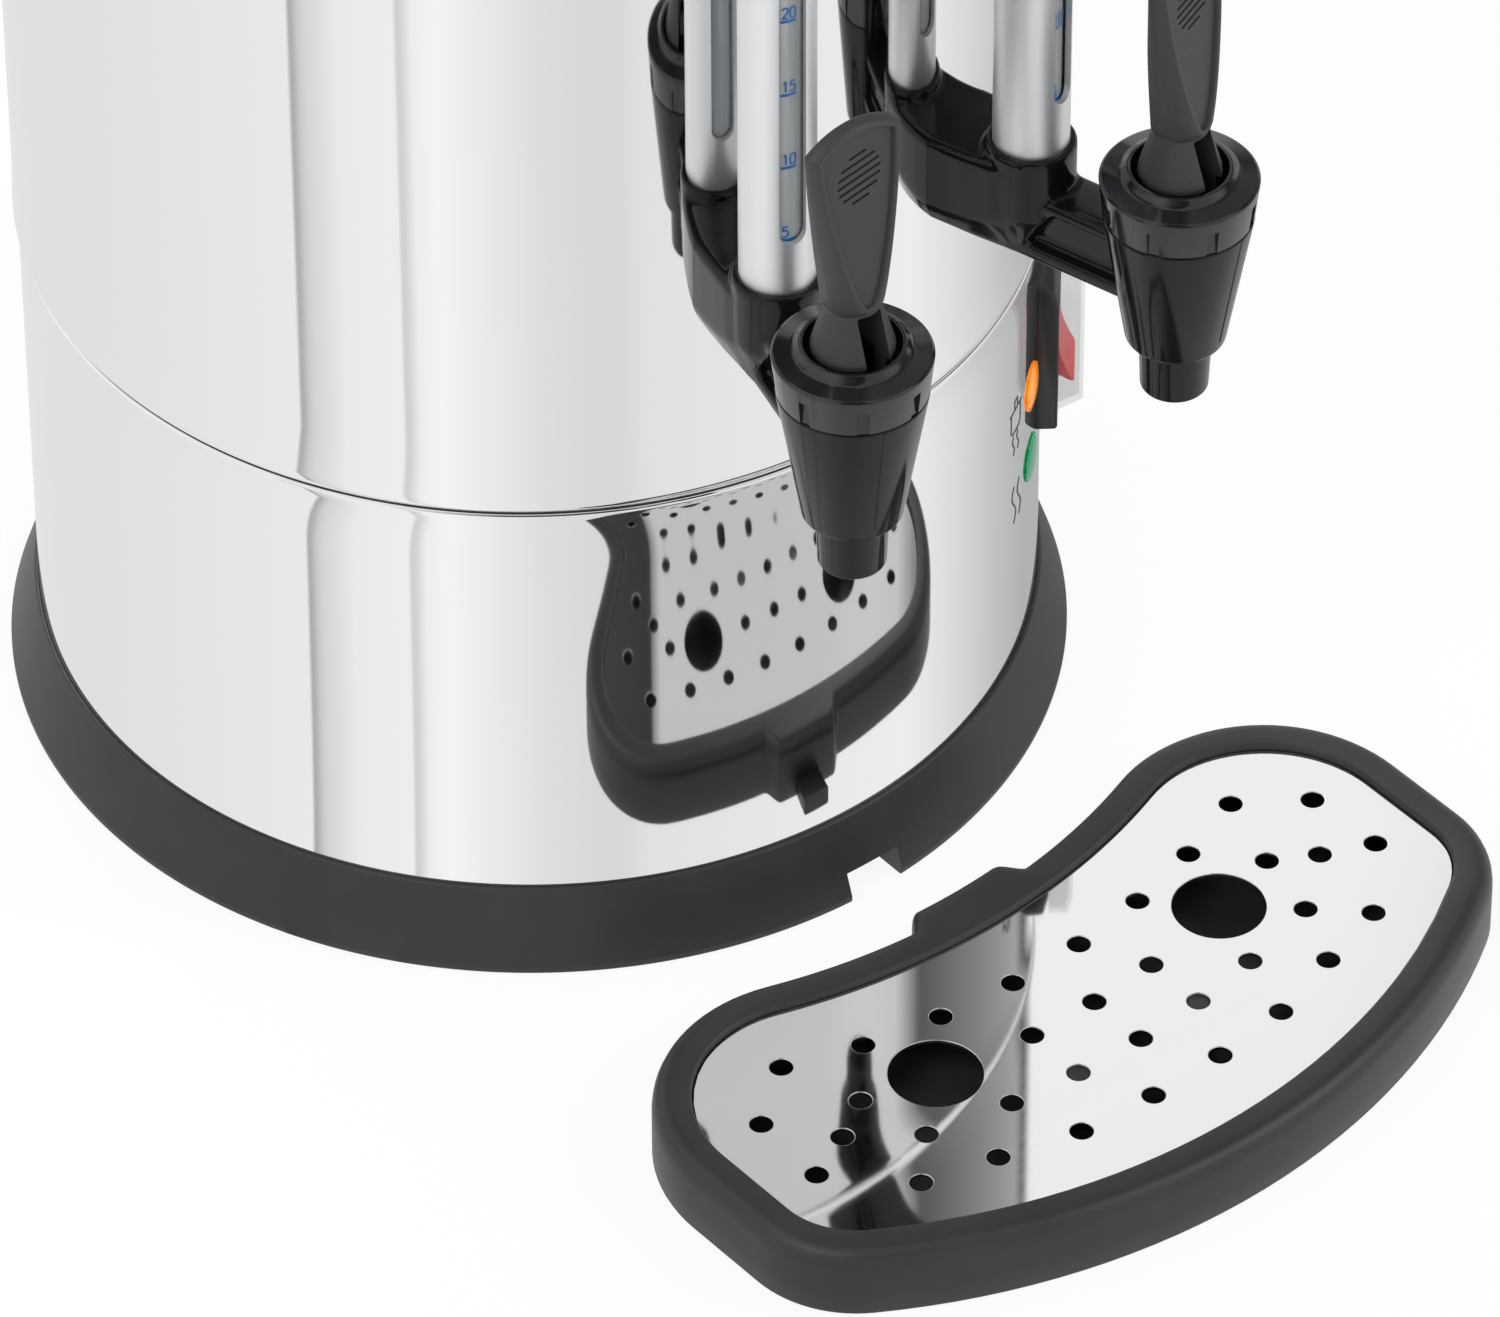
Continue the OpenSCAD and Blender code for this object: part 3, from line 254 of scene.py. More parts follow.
METAL = {"Metallic": 1.0}
steel = surface("polished_steel", (0.83, 0.84, 0.85), (0.88, 0.885, 0.89), (0.02, 0.055),
                blotch=5.0, grain=700.0, stretch=(1.0, 1.0, 0.03), sockets=METAL)
grate_steel = surface("polished_plate", (0.80, 0.81, 0.82), (0.85, 0.86, 0.87), (0.02, 0.05),
                      blotch=9.0, grain=500.0, stretch=(0.05, 1.0, 1.0), sockets=METAL)
tank_steel = surface("drawn_steel", (0.60, 0.61, 0.62), (0.70, 0.71, 0.72), (0.22, 0.36),
                     blotch=25.0, grain=900.0, relief=0.004, stretch=(1.0, 1.0, 0.08), sockets=METAL)
zinc = surface("zinc_plate", (0.50, 0.51, 0.52), (0.66, 0.67, 0.68), (0.35, 0.55), blotch=60.0, grain=400.0,
               relief=0.01, sockets=METAL)
plain_steel = surface("screw_steel", (0.52, 0.53, 0.54), (0.64, 0.65, 0.66), (0.22, 0.38), blotch=90.0,
                      grain=1800.0, relief=0.006, sockets=METAL)
heater_metal = surface("heater_metal", (0.40, 0.39, 0.37), (0.55, 0.54, 0.52), (0.45, 0.65), blotch=70.0,
                       grain=900.0, relief=0.03, sockets=METAL)
aluminium = surface("satin_aluminium", (0.80, 0.81, 0.82), (0.86, 0.87, 0.88), (0.42, 0.52), blotch=300.0,
                    grain=3000.0, relief=0.003, stretch=(1.0, 1.0, 0.015), sockets=METAL)
brass = surface("nut_brass", (0.62, 0.50, 0.27), (0.76, 0.66, 0.42), (0.25, 0.4), blotch=80.0, grain=1500.0,
                relief=0.005, sockets=METAL)
satin_black = surface("satin_black", (0.018, 0.018, 0.019), (0.024, 0.024, 0.025), (0.36, 0.50), blotch=45.0,
                      grain=2600.0, relief=0.02, sockets={"Specular IOR Level": 0.42})
gloss_black = surface("gloss_black", (0.005, 0.005, 0.005), (0.008, 0.008, 0.008), (0.06, 0.14), blotch=50.0,
                      grain=350.0, relief=0.003, sockets={"Specular IOR Level": 0.27})
bonnet_black = surface("bonnet_black", (0.006, 0.006, 0.006), (0.009, 0.009, 0.009), (0.08, 0.16), blotch=60.0,
                       grain=350.0, relief=0.003, sockets={"Specular IOR Level": 0.62})
dark_steel = surface("dark_steel", (0.02, 0.02, 0.02), (0.035, 0.035, 0.036), (0.3, 0.45), blotch=90.0, grain=1800.0,
                     relief=0.006, sockets=METAL)
lever_black = surface("lever_black", (0.026, 0.027, 0.028), (0.036, 0.037, 0.038), (0.40, 0.55), blotch=2600.0,
                      grain=2400.0, relief=0.03, sockets={"Specular IOR Level": 0.4})
switch_black = surface("switch_black", (0.012, 0.012, 0.012), (0.018, 0.018, 0.018), (0.28, 0.42), blotch=70.0,
                       grain=2600.0, relief=0.015)
gauge_glass = surface("gauge_glass", (0.40, 0.42, 0.43), (0.72, 0.74, 0.75), (0.03, 0.08), blotch=260.0,
                      grain=200.0, stretch=(1.0, 1.0, 0.02), sockets={"Transmission Weight": 0.4, "IOR": 1.3})
cover_clear = surface("cover_clear", (0.34, 0.35, 0.36), (0.42, 0.43, 0.44), (0.03, 0.08), blotch=40.0,
                      grain=300.0, sockets={"Alpha": 0.16, "Specular IOR Level": 0.7})
# The rocker's faint red glow is painted light, not a lamp: it brightens the rocker where it sits in shade under its
# clear cover.
rocker_red = surface("rocker_red", (0.72, 0.015, 0.012), (0.84, 0.03, 0.022), (0.16, 0.26), blotch=60.0,
                     grain=1500.0, relief=0.006, sockets={"Emission Color": (0.8, 0.02, 0.015, 1.0),
                                                          "Emission Strength": 0.12})
amber_lens = surface("amber_lens", (0.86, 0.28, 0.004), (0.96, 0.44, 0.012), (0.04, 0.1), blotch=250.0, grain=900.0,
                     sockets={"Transmission Weight": 0.4, "Coat Weight": 0.5, "Coat Roughness": 0.05,
                              "Emission Color": (0.95, 0.32, 0.005, 1.0), "Emission Strength": 0.3})
green_lens = surface("green_lens", (0.002, 0.20, 0.085), (0.01, 0.33, 0.15), (0.04, 0.1), blotch=250.0, grain=900.0,
                     sockets={"Transmission Weight": 0.4, "Coat Weight": 0.5, "Coat Roughness": 0.05,
                              "Emission Color": (0.005, 0.3, 0.12, 1.0), "Emission Strength": 0.3})
silicone = surface("silicone", (0.58, 0.55, 0.49), (0.70, 0.67, 0.61), (0.45, 0.6), blotch=90.0, grain=1500.0,
                   relief=0.01)
rubber = surface("rubber", (0.014, 0.014, 0.014), (0.024, 0.024, 0.024), (0.65, 0.85), blotch=80.0, grain=1800.0,
                 relief=0.03)
phenolic = surface("phenolic", (0.10, 0.065, 0.04), (0.15, 0.10, 0.065), (0.3, 0.45), blotch=200.0, grain=1200.0,
                   relief=0.01)
ceramic = surface("ceramic", (0.74, 0.71, 0.64), (0.84, 0.81, 0.75), (0.15, 0.3), blotch=90.0, grain=700.0,
                  relief=0.01)
lead_sleeve = surface("lead_sleeve", (0.50, 0.41, 0.25), (0.66, 0.57, 0.38), (0.7, 0.9), blotch=900.0, grain=2200.0,
                      relief=0.06)
nylon = surface("clip_nylon", (0.66, 0.66, 0.63), (0.76, 0.76, 0.73), (0.4, 0.55), blotch=90.0, grain=1400.0,
                relief=0.01)
blue_ink = surface("blue_ink", (0.008, 0.11, 0.34), (0.015, 0.15, 0.42), (0.4, 0.55), blotch=900.0, grain=3000.0)
grey_ink = surface("grey_ink", (0.05, 0.05, 0.05), (0.09, 0.09, 0.09), (0.4, 0.55), blotch=900.0, grain=3000.0)


# Steel body

def steel_wall(r, low, high, edge, lip, flare, run, power):
    """Half section of a sheet wall that flares a little towards its upper end, which is rolled inwards into a lip."""
    t, hold, top, base = 0.7, 0.4, r + flare, high - edge - run
    turn = [math.pi / 2 * k / 7 for k in range(8)]
    swell = [(r + flare * (k / 12) ** power, base + run * k / 12) for k in range(13)]
    outer = [(top - edge + edge * math.cos(a), high - edge + edge * math.sin(a)) for a in turn[1:]]
    inner = [(top - edge + (edge - t) * math.cos(a), high - edge + (edge - t) * math.sin(a)) for a in reversed(turn)]
    return ([(r, low), (r, low + hold)] + swell + outer + [(top - edge - lip, high), (top - edge - lip, high - t)]
            + inner + [(r - t, base), (r - t, low)])


BEAD, BEAD_IN, RING_SEAT = 0.5, 124, 15.9
skirt_wall = steel_wall(SKIRT_R, RING_SEAT, SEAM_Z - BEAD, edge=0.8, lip=8.0, flare=0.68, run=18.3, power=3.2)
skirt = mesh_object("skirt_shell", lathe(skirt_wall, WALL_STEPS))
piece(skirt, steel, "body", "polished_steel", "lower_skirt")
upright = steel_wall(SHELL_R, SEAM_Z, SHELL_TOP, edge=2.2, lip=7.0, flare=0.4, run=17.0, power=2.0)
flipped = [(r, SEAM_Z + SHELL_TOP - z) for r, z in upright]
shell = mesh_object("upper_shell", lathe(flipped, WALL_STEPS))
piece(shell, steel, "body", "polished_steel", "outer_shell")
# A thin dark rubber bead in the seam between shell and skirt; its dark line also stands in for the seam's shadow, as
# painted shade.
bead_and_shade = rounded([(BEAD_IN, SEAM_Z - BEAD, 0), (SKIRT_R - 0.1, SEAM_Z - BEAD, 0.2),
                (SKIRT_R - 0.1, SEAM_Z, 0.2), (BEAD_IN, SEAM_Z, 0)], 3)
piece(mesh_object("seam_bead_and_shade", lathe(bead_and_shade, WALL_STEPS)), rubber, "body", "rubber")

RING = [(122, 0, 0.5), (138, 0, 0.9), (138, 2.2, 1.6), (131, RING_H, 0.7), (130.05, RING_H, 0.15),
        (130.05, RING_SEAT, 0), (126, RING_SEAT, 0), (126, 9, 0), (110, 9, 0), (110, 5, 0), (122, 5, 0)]
ring = mesh_object("foot_ring", lathe(rounded(RING), WALL_STEPS))
NOTCH_HALF, NOTCH_TOP = 8.2, 8.5
notch = rounded([(-NOTCH_HALF, -140, 0), (NOTCH_HALF, -140, 0), (NOTCH_HALF, -126, 1.2), (-NOTCH_HALF, -126, 1.2)])
cut(ring, loft([[(x, y, z) for x, y in notch] for z in (-1, NOTCH_TOP)]))
piece(ring, satin_black, "body", "base_plastic", "base_ring")

RIM = [(115, 453, 0), (130.85, 453, 0), (130.85, 445, 0.2), (133.3, 445, 0.6), (133.3, 459, 2.2), (130.3, 462, 2.2),
       (118, 462, 1.6), (115, 459, 1.6)]
piece(mesh_object("rim_moulding", lathe(rounded(RIM), 192)), satin_black, "body", "base_plastic", "top_rim")

LID_FLAT, LID_PLUG, LID_RISE, LID_SEAT = 25.0, 114.4, 18.0, 462.0


def dome(r):
    return LID_RISE * (1 - ((r - LID_FLAT) / (115.0 - LID_FLAT)) ** 2)


radii = [LID_PLUG - (LID_PLUG - LID_FLAT) * k / 24 for k in range(25)]
lid_top = [(r, LID_SEAT + 1 + dome(r)) for r in radii]
lid_top += [(12.0, LID_SEAT + 1 + LID_RISE), (0.0, LID_SEAT + 1 + LID_RISE)]
lid_under = [(0.0, LID_SEAT + LID_RISE)] + [(r - 1, LID_SEAT + dome(r)) for r in reversed(radii)]
lid_edge = [(LID_PLUG - 1, LID_SEAT - 7), (LID_PLUG, LID_SEAT - 7), (LID_PLUG, LID_SEAT), (124.6, LID_SEAT),
            (125.0, LID_SEAT + 0.4), (124.8, LID_SEAT + 0.8), (124.3, LID_SEAT + 1.0)]
piece(mesh_object("lid_shell", lathe(lid_edge + lid_top + lid_under, 192)), steel, "lid", "polished_steel", "lid")
KNOB = [(0, 481, 0), (10.5, 481, 0.4), (9, 484, 1.5), (9, 490, 2.5), (20, 491.5, 4), (22, 499, 5), (21, 511, 5),
        (13, 515, 6), (0, 515, 0)]
piece(mesh_object("knob_moulding", lathe(rounded(KNOB), 96)), satin_black, "lid", "base_plastic", "lid_knob")


# Levers

def along(keys, v):
    """Value at v on a smooth curve through (place, value) keys."""
    if v <= keys[0][0]:
        return keys[0][1]
    for i in range(len(keys) - 1):
        (a, p), (b, q) = keys[i], keys[i + 1]
        if v <= b:
            t = (v - a) / (b - a)
            m0 = (q - keys[max(i - 1, 0)][1]) / (b - keys[max(i - 1, 0)][0]) * (b - a)
            after = keys[min(i + 2, len(keys) - 1)]
            m1 = (after[1] - p) / (after[0] - a) * (b - a)
            return ((2 * t**3 - 3 * t**2 + 1) * p + (t**3 - 2 * t**2 + t) * m0
                    + (-2 * t**3 + 3 * t**2) * q + (t**3 - t**2) * m1)
    return keys[-1][1]


# Keys of height and half width, then heights, radii and the grip's grooves
LEVER_WIDE = [(253.6, 4.6), (254.2, 5.9), (255.4, 6.8), (258, 7.3), (265, 8.5), (272, 9.7), (284, 11.5),
              (295, 12.8), (306, 13.8)]
PANEL_WIDE = [(257.4, 1.0), (259, 2.1), (266, 4.6), (278, 7.5), (292, 9.9), (306, 11.2)]
LEVER_LOW, LEVER_TOP, ARCH_R = 253.6, 309.3, 22.0
PANEL_LOW, PANEL_TOP, PANEL_ARCH = 257.4, 307.2, 20.0
LEVER_TURN = {"left": 14.0, "right": 0.0}
PINCH_HALF = 12.9
FORK_HALF, FORK_TOP = 3.5, 255.3
PIN_Z, PIN_R, PIN_HALF = 238.0, 1.53, 12.0
GROOVE_Z, GROOVE_PITCH, GROOVE_HALF, GROOVE_FADE, GROOVE_TILT = 294.4, 2.05, 6.6, 3.27, -9


def face_y(z):
    return along([(253, -7.3), (258, -7.2), (306, -2.0), (314, -1.5)], z)


def rear_y(z):
    return along([(253, 5.2), (260, 5.0), (281, 3.9), (300, 2.6), (314, 2.2)], z)


def edge_y(z):
    """Where the paddle is widest, between its face and its rear."""
    return along([(253, -0.8), (262, -0.9), (285, -0.1), (300, 0.5), (314, 1.2)], z)


def half_outline(wide, low, top, arch_r, count):
    """Right half of a paddle, from its lower end up over its arched top to the middle."""
    corner = next(z for z in (low + 0.05 * k for k in range(4000))
                  if z > top - arch_r and along(wide, z) ** 2 + (z - top + arch_r) ** 2 >= arch_r**2)
    sides = count * 2 // 3
    points = [(along(wide, low + (corner - low) * k / sides), low + (corner - low) * k / sides) for k in range(sides)]
    wide_angle = math.asin(min(1.0, along(wide, corner) / arch_r))
    rest = count - sides
    for k in range(rest + 1):
        a = wide_angle * (1 - k / rest) * (0.985 if k == 0 else 1.0)
        points.append((arch_r * math.sin(a), top - arch_r + arch_r * math.cos(a)))
    points[-1] = (0.0, top)
    return points


def full_loop(points):
    return points + [(-x, z) for x, z in reversed(points[:-1])]


def inset(points, d):
    """A closed loop moved inwards along its own normals."""
    out, n = [], len(points)
    for i in range(n):
        (ax, az), (bx, bz) = points[i - 1], points[(i + 1) % n]
        run = Vector((bx - ax, bz - az)).normalized()
        out.append((points[i][0] - run.y * d, points[i][1] + run.x * d))
    return out


def pinch(points, d):
    """A paddle's outline drawn in towards its middle by up to d."""
    middle = (LEVER_LOW + LEVER_TOP) / 2
    return [(x * (1 - d / PINCH_HALF), middle + (z - middle) * (1 - d / (LEVER_TOP - middle))) for x, z in points]


def lever_part():
    """The paddle of a lever about the tap axis, its face towards -Y, with a sunken panel."""
    count = 54
    outline = full_loop(half_outline(LEVER_WIDE, LEVER_LOW, LEVER_TOP, ARCH_R, count))
    panel = full_loop(half_outline(PANEL_WIDE, PANEL_LOW, PANEL_TOP, PANEL_ARCH, count))
    rim = inset(panel, -0.8)

    def mixed(s):
        return [((1 - s) * a + s * c, (1 - s) * b + s * d) for (a, b), (c, d) in zip(rim, outline)]

    loops = [
        [(x, rear_y(z) + share * (edge_y(z) - rear_y(z)), z) for x, z in pinch(outline, d)]
        for d, share in ((2.4, 0.0), (1.2, 0.08), (0.35, 0.35), (0.0, 0.85))
    ] + [
        [(x, face_y(z) + share * (edge_y(z) - face_y(z)), z) for x, z in mixed(s)]
        for s, share in ((1.0, 1.0), (0.82, 0.55), (0.45, 0.2), (0.08, 0.01))
    ] + [
        [(x, face_y(z) + deep, z) for x, z in inset(panel, d)]
        for d, deep in ((-0.4, 0.0), (0.0, 0.08), (0.2, 0.35), (0.4, 1.1))
    ]
    verts, faces = loft(loops, (False, False))
    n = len(outline)
    for base in (0, (len(loops) - 1) * n):
        for k in range(count - 1):
            faces.append((base + k, base + k + 1, base + n - 2 - k, base + n - 1 - k))
        faces.append((base + count - 1, base + count, base + count + 1))
    return verts, faces


def bar(x0, x1, y0, y1, z0, z1, r=0.0, steps=4):
    """A block with edges along Y rounded."""
    section = rounded([(x0, z0, r), (x1, z0, r), (x1, z1, r), (x0, z1, r)], steps)
    return loft([[(x, y, z) for x, z in section] for y in (y0, y1)])


FOOT = [(0, 231.3, 0), (8.8, 231.3, 0.6), (8.8, 241.2, 0.3), (10.3, 241.8, 0.4), (10.2, 243, 0.8), (8.5, 249, 4),
        (7.1, 254, 2), (6.3, 257.5, 0), (0, 257.5, 0)]


def lever_piece(side, angle):
    place = turned(angle) @ moved(0, -TAP_R, 0) @ turned(LEVER_TURN[side])
    obj = mesh_object(side + "_paddle", lever_part(), place)
    cut(obj, lathe(rounded(FOOT, 6), 96), place, "UNION")
    cut(obj, bar(-FORK_HALF, FORK_HALF, -14, 14, 229, FORK_TOP, 0.8), place)
    pin = lathe([(0.0, -PIN_HALF), (PIN_R, -PIN_HALF), (PIN_R, PIN_HALF), (0.0, PIN_HALF)], 32)
    cut(obj, pin, place @ moved(0, 0, PIN_Z) @ Matrix.Rotation(math.pi / 2, 4, "Y"))
    for row in range(-3, 4):
        z = GROOVE_Z + GROOVE_PITCH * row
        reach = GROOVE_HALF * math.sqrt(1 - (row / GROOVE_FADE) ** 2)
        tilt = Matrix.Rotation(math.radians(GROOVE_TILT), 4, "Y")
        cut(obj, bar(-reach, reach, -9, face_y(z) + 1.65, -0.36, 0.36, 0.3), place @ moved(0, 0, z) @ tilt)
    return obj


for side, angle in SIDES.items():
    piece(lever_piece(side, angle), lever_black, side + "_lever", "lever_plastic", side + "_lever")


# Tap bodies

def soften(obj, voxel, rounds):
    """Melts the parts of an object into one skin with rounded edges and fillets."""
    skin = obj.modifiers.new("skin", "REMESH")
    skin.mode = "VOXEL"
    skin.voxel_size = voxel * MM
    ease = obj.modifiers.new("ease", "SMOOTH")
    ease.factor = 0.5
    ease.iterations = rounds
    return baked(obj, 60.0)


def slab(x0, x1, corners):
    """A plate between two x, its outline given by (y, z, radius) corners."""
    return loft([[(x, y, z) for y, z in rounded(corners)] for x in (x0, x1)])


def block_section(y, wide, foot, low, under):
    """Section of the block behind a gauge: half widths above and at the foot, heights of foot and slope."""
    outline = rounded([(-wide, 229, 2.2), (-wide, low + under, 7), (-foot, low, 2.5), (foot, low, 2.5),
                       (wide, low + under, 7), (wide, 229, 2.2)])
    return [(x, y, z) for x, z in outline]


BLOCK = [(-127, 12.6, 10.8, 202.6, 5), (-135, 12.6, 10.2, 202.2, 6), (-142, 12.3, 9.2, 201.3, 8),
         (-148, 11.8, 8.0, 200.5, 10), (-153, 11.0, 7.4, 200.2, 12)]
SOCKET = [(0, 200.2, 0), (7.4, 200.2, 1.5), (8.6, 205, 6), (11.2, 213, 6), (11.35, 232, 0.9), (0, 232, 0)]
SOCKET_BORE = [(0, 215), (8.0, 215), (8.0, 222), (9.6, 222), (9.6, 240), (0, 240)]
ARM_HALF, ARM_LOW, ARM_TOP = 7.5, 200.1, 220
POCKET_X, POCKET_WIDE = (-20, 4.2), 15.8
POCKET = [(-155.5, 204.6, 1.5), (-185, 204.6, 0.5), (-185, 216.4, 0.5), (-163, 216.4, 1.5)]
CONE = [(0, 174.8, 0), (8.4, 174.8, 0.9), (9.0, 190, 0.4), (12.3, 190, 3.0), (18.6, 228.9, 0.5), (15.5, 228.9, 0.1),
        (15.5, 236, 0.3), (0, 236, 0)]
CHAMBER = [(0, 170), (6, 170), (6, 206), (11, 206), (11, 228.7), (13.8, 228.7), (13.8, 237), (0, 237)]
PARTING = [(-TAP_R - 13.1, 194, 0), (-TAP_R - 18.65, 228.4, 0), (-TAP_R - 16, 228.4, 0), (-TAP_R - 11, 194, 0)]
PARTING_HALF = 0.22
SHANK_Z, SHANK_R, SHANK_IN, SHANK_OUT = 212.0, 9.95, 102.5, 136


def tap_moulding():
    """Block, gauge socket, arm with its side pockets, and cone, for a tap that faces -Y."""
    obj = mesh_object("tap_moulding", loft([block_section(*row) for row in BLOCK]))
    gauge, tap = moved(0, -GAUGE_R, 0), moved(0, -TAP_R, 0)
    cut(obj, lathe(rounded(SOCKET), 96), gauge, "UNION")
    cut(obj, bar(-ARM_HALF, ARM_HALF, -190, -152, ARM_LOW, ARM_TOP, 1.5), how="UNION")
    for x in POCKET_X:
        cut(obj, slab(x, x + POCKET_WIDE, POCKET))
    soften(obj, 0.7, 8)
    cut(obj, lathe([(0, 190), (SHELL_R + 0.05, 190), (SHELL_R + 0.05, 240), (0, 240)], WALL_STEPS))
    cut(obj, lathe(rounded(CONE, 6), 128), tap, "UNION")
    cut(obj, slab(-PARTING_HALF, PARTING_HALF, PARTING), how="UNION")
    shank = lathe([(0, SHANK_IN), (SHANK_R, SHANK_IN), (SHANK_R, SHANK_OUT), (0, SHANK_OUT)], 64)
    cut(obj, shank, moved(0, 0, SHANK_Z) @ Matrix.Rotation(math.pi / 2, 4, "X"), "UNION")
    cut(obj, lathe(CHAMBER, 96), tap)
    return cut(obj, lathe(SOCKET_BORE, 96), gauge, sharp=40.0)


moulding = tap_moulding()
for side, angle in SIDES.items():
    obj = bpy.data.objects.new(side + "_tap_moulding", moulding.data.copy())
    obj.data.transform(turned(angle))
    bpy.context.scene.collection.objects.link(obj)
    piece(obj, gloss_black, "body", "tap_plastic", side + "_tap_body")
bpy.data.objects.remove(moulding)


# Bonnets

BONNET = [(15.55, 229, 0.1), (18.5, 229.1, 0.35), (19.5, 238.6, 0.4), (19.6, 239.6, 0.5), (18.9, 240.1, 0.6),
          (14.4, 241.3, 3.0), (12.9, 242.9, 0.7), (11.9, 243.0, 0.3), (11.7, 239.4, 0.3), (11.9, 238.7, 0.3),
          (11.9, 231, 0.4), (3.3, 231, 0.2), (3.3, 229, 0), (13.5, 229, 0), (13.5, 236.3, 0), (15.55, 236.3, 0)]
BONNET_SLOTS, SLOT_HALF, SLOT_FLOOR, SLOT_TOP = 8, 1.45, 17.95, 236.2
SLOT_START = {"left": -17.1, "right": -31.0}

for side, angle in SIDES.items():
    place = turned(angle) @ moved(0, -TAP_R, 0)
    obj = mesh_object(side + "_bonnet_cap", lathe(rounded(BONNET, 7), 160), place)
    for k in range(BONNET_SLOTS):
        turn = turned(SLOT_START[side] + 360 * k / BONNET_SLOTS)
        cut(obj, bar(-SLOT_HALF, SLOT_HALF, -22, -SLOT_FLOOR, 228, SLOT_TOP, 0.3), place @ turn)
    piece(obj, bonnet_black, "body", "tap_plastic", side + "_bonnet")


# Gauge sleeves

WINDOW_HALF, WINDOW_LOW, WINDOW_TOP = 3.5, 247, 404
SLEEVE = [(7.9, 222, 0.2), (9.5, 222, 0.3), (9.5, 424, 0.3), (7.9, 424, 0.2)]
for side, angle in SIDES.items():
    place = turned(angle) @ moved(0, -GAUGE_R, 0)
    obj = mesh_object(side + "_gauge_sleeve", lathe(rounded(SLEEVE, 3), 160), place)
    for y in (-12, 2):
        cut(obj, bar(-WINDOW_HALF, WINDOW_HALF, y, y + 10, WINDOW_LOW, WINDOW_TOP, 3.49, 10), place)
    piece(obj, aluminium, "body", "satin_aluminium", side + "_sight_sleeve")


# Printing on curved surfaces

def wrapped(part, r):
    """Flat (u, v, height) vertices laid on a cylinder about Z, u along the turn at its front."""
    return [((r + h) * math.sin(u / r), -(r + h) * math.cos(u / r), v) for u, v, h in part[0]], part[1]


def stroke(corners, width, height=0.08):
    """A thin raised line along flat (u, v) corners, divided finely enough to lie on a curved wall."""
    points, loops = corners[:1], []
    for a, b in zip(corners, corners[1:]):
        count = max(1, round(math.dist(a, b) / 0.4))
        points = points + [(a[0] + (b[0] - a[0]) * k / count, a[1] + (b[1] - a[1]) * k / count)
                           for k in range(1, count + 1)]
    for i, (u, v) in enumerate(points):
        a, b = points[max(i - 1, 0)], points[min(i + 1, len(points) - 1)]
        run = Vector((b[0] - a[0], b[1] - a[1])).normalized() * (width / 2)
        loops.append([(u - run.y, v + run.x, 0.0), (u + run.y, v - run.x, 0.0),
                      (u + run.y, v - run.x, height), (u - run.y, v + run.x, height)])
    return loft(loops)


DIGITS = {
    "0": [[(0.15, 0.3), (0.3, 0.06), (0.55, 0.0), (0.8, 0.06), (0.95, 0.3), (0.95, 1.1), (0.8, 1.34), (0.55, 1.4),
           (0.3, 1.34), (0.15, 1.1), (0.15, 0.3)]],
    "1": [[(0.3, 1.12), (0.6, 1.4), (0.6, 0.0)]],
    "2": [[(0.15, 1.12), (0.3, 1.34), (0.55, 1.4), (0.82, 1.33), (0.95, 1.08), (0.88, 0.82), (0.15, 0.02),
           (0.97, 0.02)]],
    "3": [[(0.15, 1.2), (0.4, 1.39), (0.72, 1.36), (0.92, 1.1), (0.78, 0.8), (0.5, 0.74), (0.82, 0.66), (0.96, 0.4),
           (0.78, 0.08), (0.45, 0.0), (0.13, 0.2)]],
    "5": [[(0.9, 1.38), (0.28, 1.38), (0.2, 0.78), (0.5, 0.9), (0.8, 0.82), (0.96, 0.5), (0.82, 0.12), (0.5, 0.0),
           (0.15, 0.16)]],
}
GLASS_R, MARK_LOW, MARK_STEP, MARK_ENDS = 7.31, 247.2, 22.1, (-2.3, 1.6)
DIGIT, NARROW, ADVANCE = 2.25, 0.76, 1.12

for side, angle in SIDES.items():
    strokes = []
    for k in range(1, 8):
        level, word = MARK_LOW + MARK_STEP * (k - 1), str(5 * k)
        strokes.append(stroke([(u, level) for u in MARK_ENDS], 0.8))
        for i, sign in enumerate(word):
            for line in DIGITS[sign]:
                corners = [(-2.1 + (i * ADVANCE + u) * DIGIT * NARROW, level + 0.9 + v * DIGIT) for u, v in line]
                strokes.append(stroke(corners, 0.5))
    marks = wrapped(merged(*strokes), GLASS_R)
    obj = mesh_object(side + "_gauge_marks", marks, turned(angle) @ moved(0, -GAUGE_R, 0))
    piece(obj, blue_ink, "body", "gauge_glass")

wave = [(0.9 * math.sin(2 * math.pi * k / 16), 0.62 * k) for k in range(17)]
steam = [stroke([(1.7 * u + s, 68.4 + 1.26 * v) for u, v in wave], 0.55) for s in (-2.1, 2.1)]
pot = [stroke([(-3.6, 106.6), (-3.6, 100.6), (-2.5, 99.4), (2.5, 99.4), (3.6, 100.6), (3.6, 106.6)], 0.55),
       stroke([(-4.6, 106.6), (4.6, 106.6)], 0.55),
       stroke([(-1.1, 107.2), (-1.1, 109.6), (1.1, 109.6), (1.1, 107.2)], 0.5)]
pot += [stroke([(0.8 * u + s, 92.0 + 0.64 * v) for u, v in wave], 0.5) for s in (-1.7, 1.7)]
for name, strokes, angle in (("steam_mark", steam, 32.0), ("pot_mark", pot, 31.35)):
    marks = wrapped(merged(*strokes), SKIRT_R + 0.02)
    piece(mesh_object(name, marks, turned(angle)), grey_ink, "body", "switch_plastic")


# Lamps and rocker

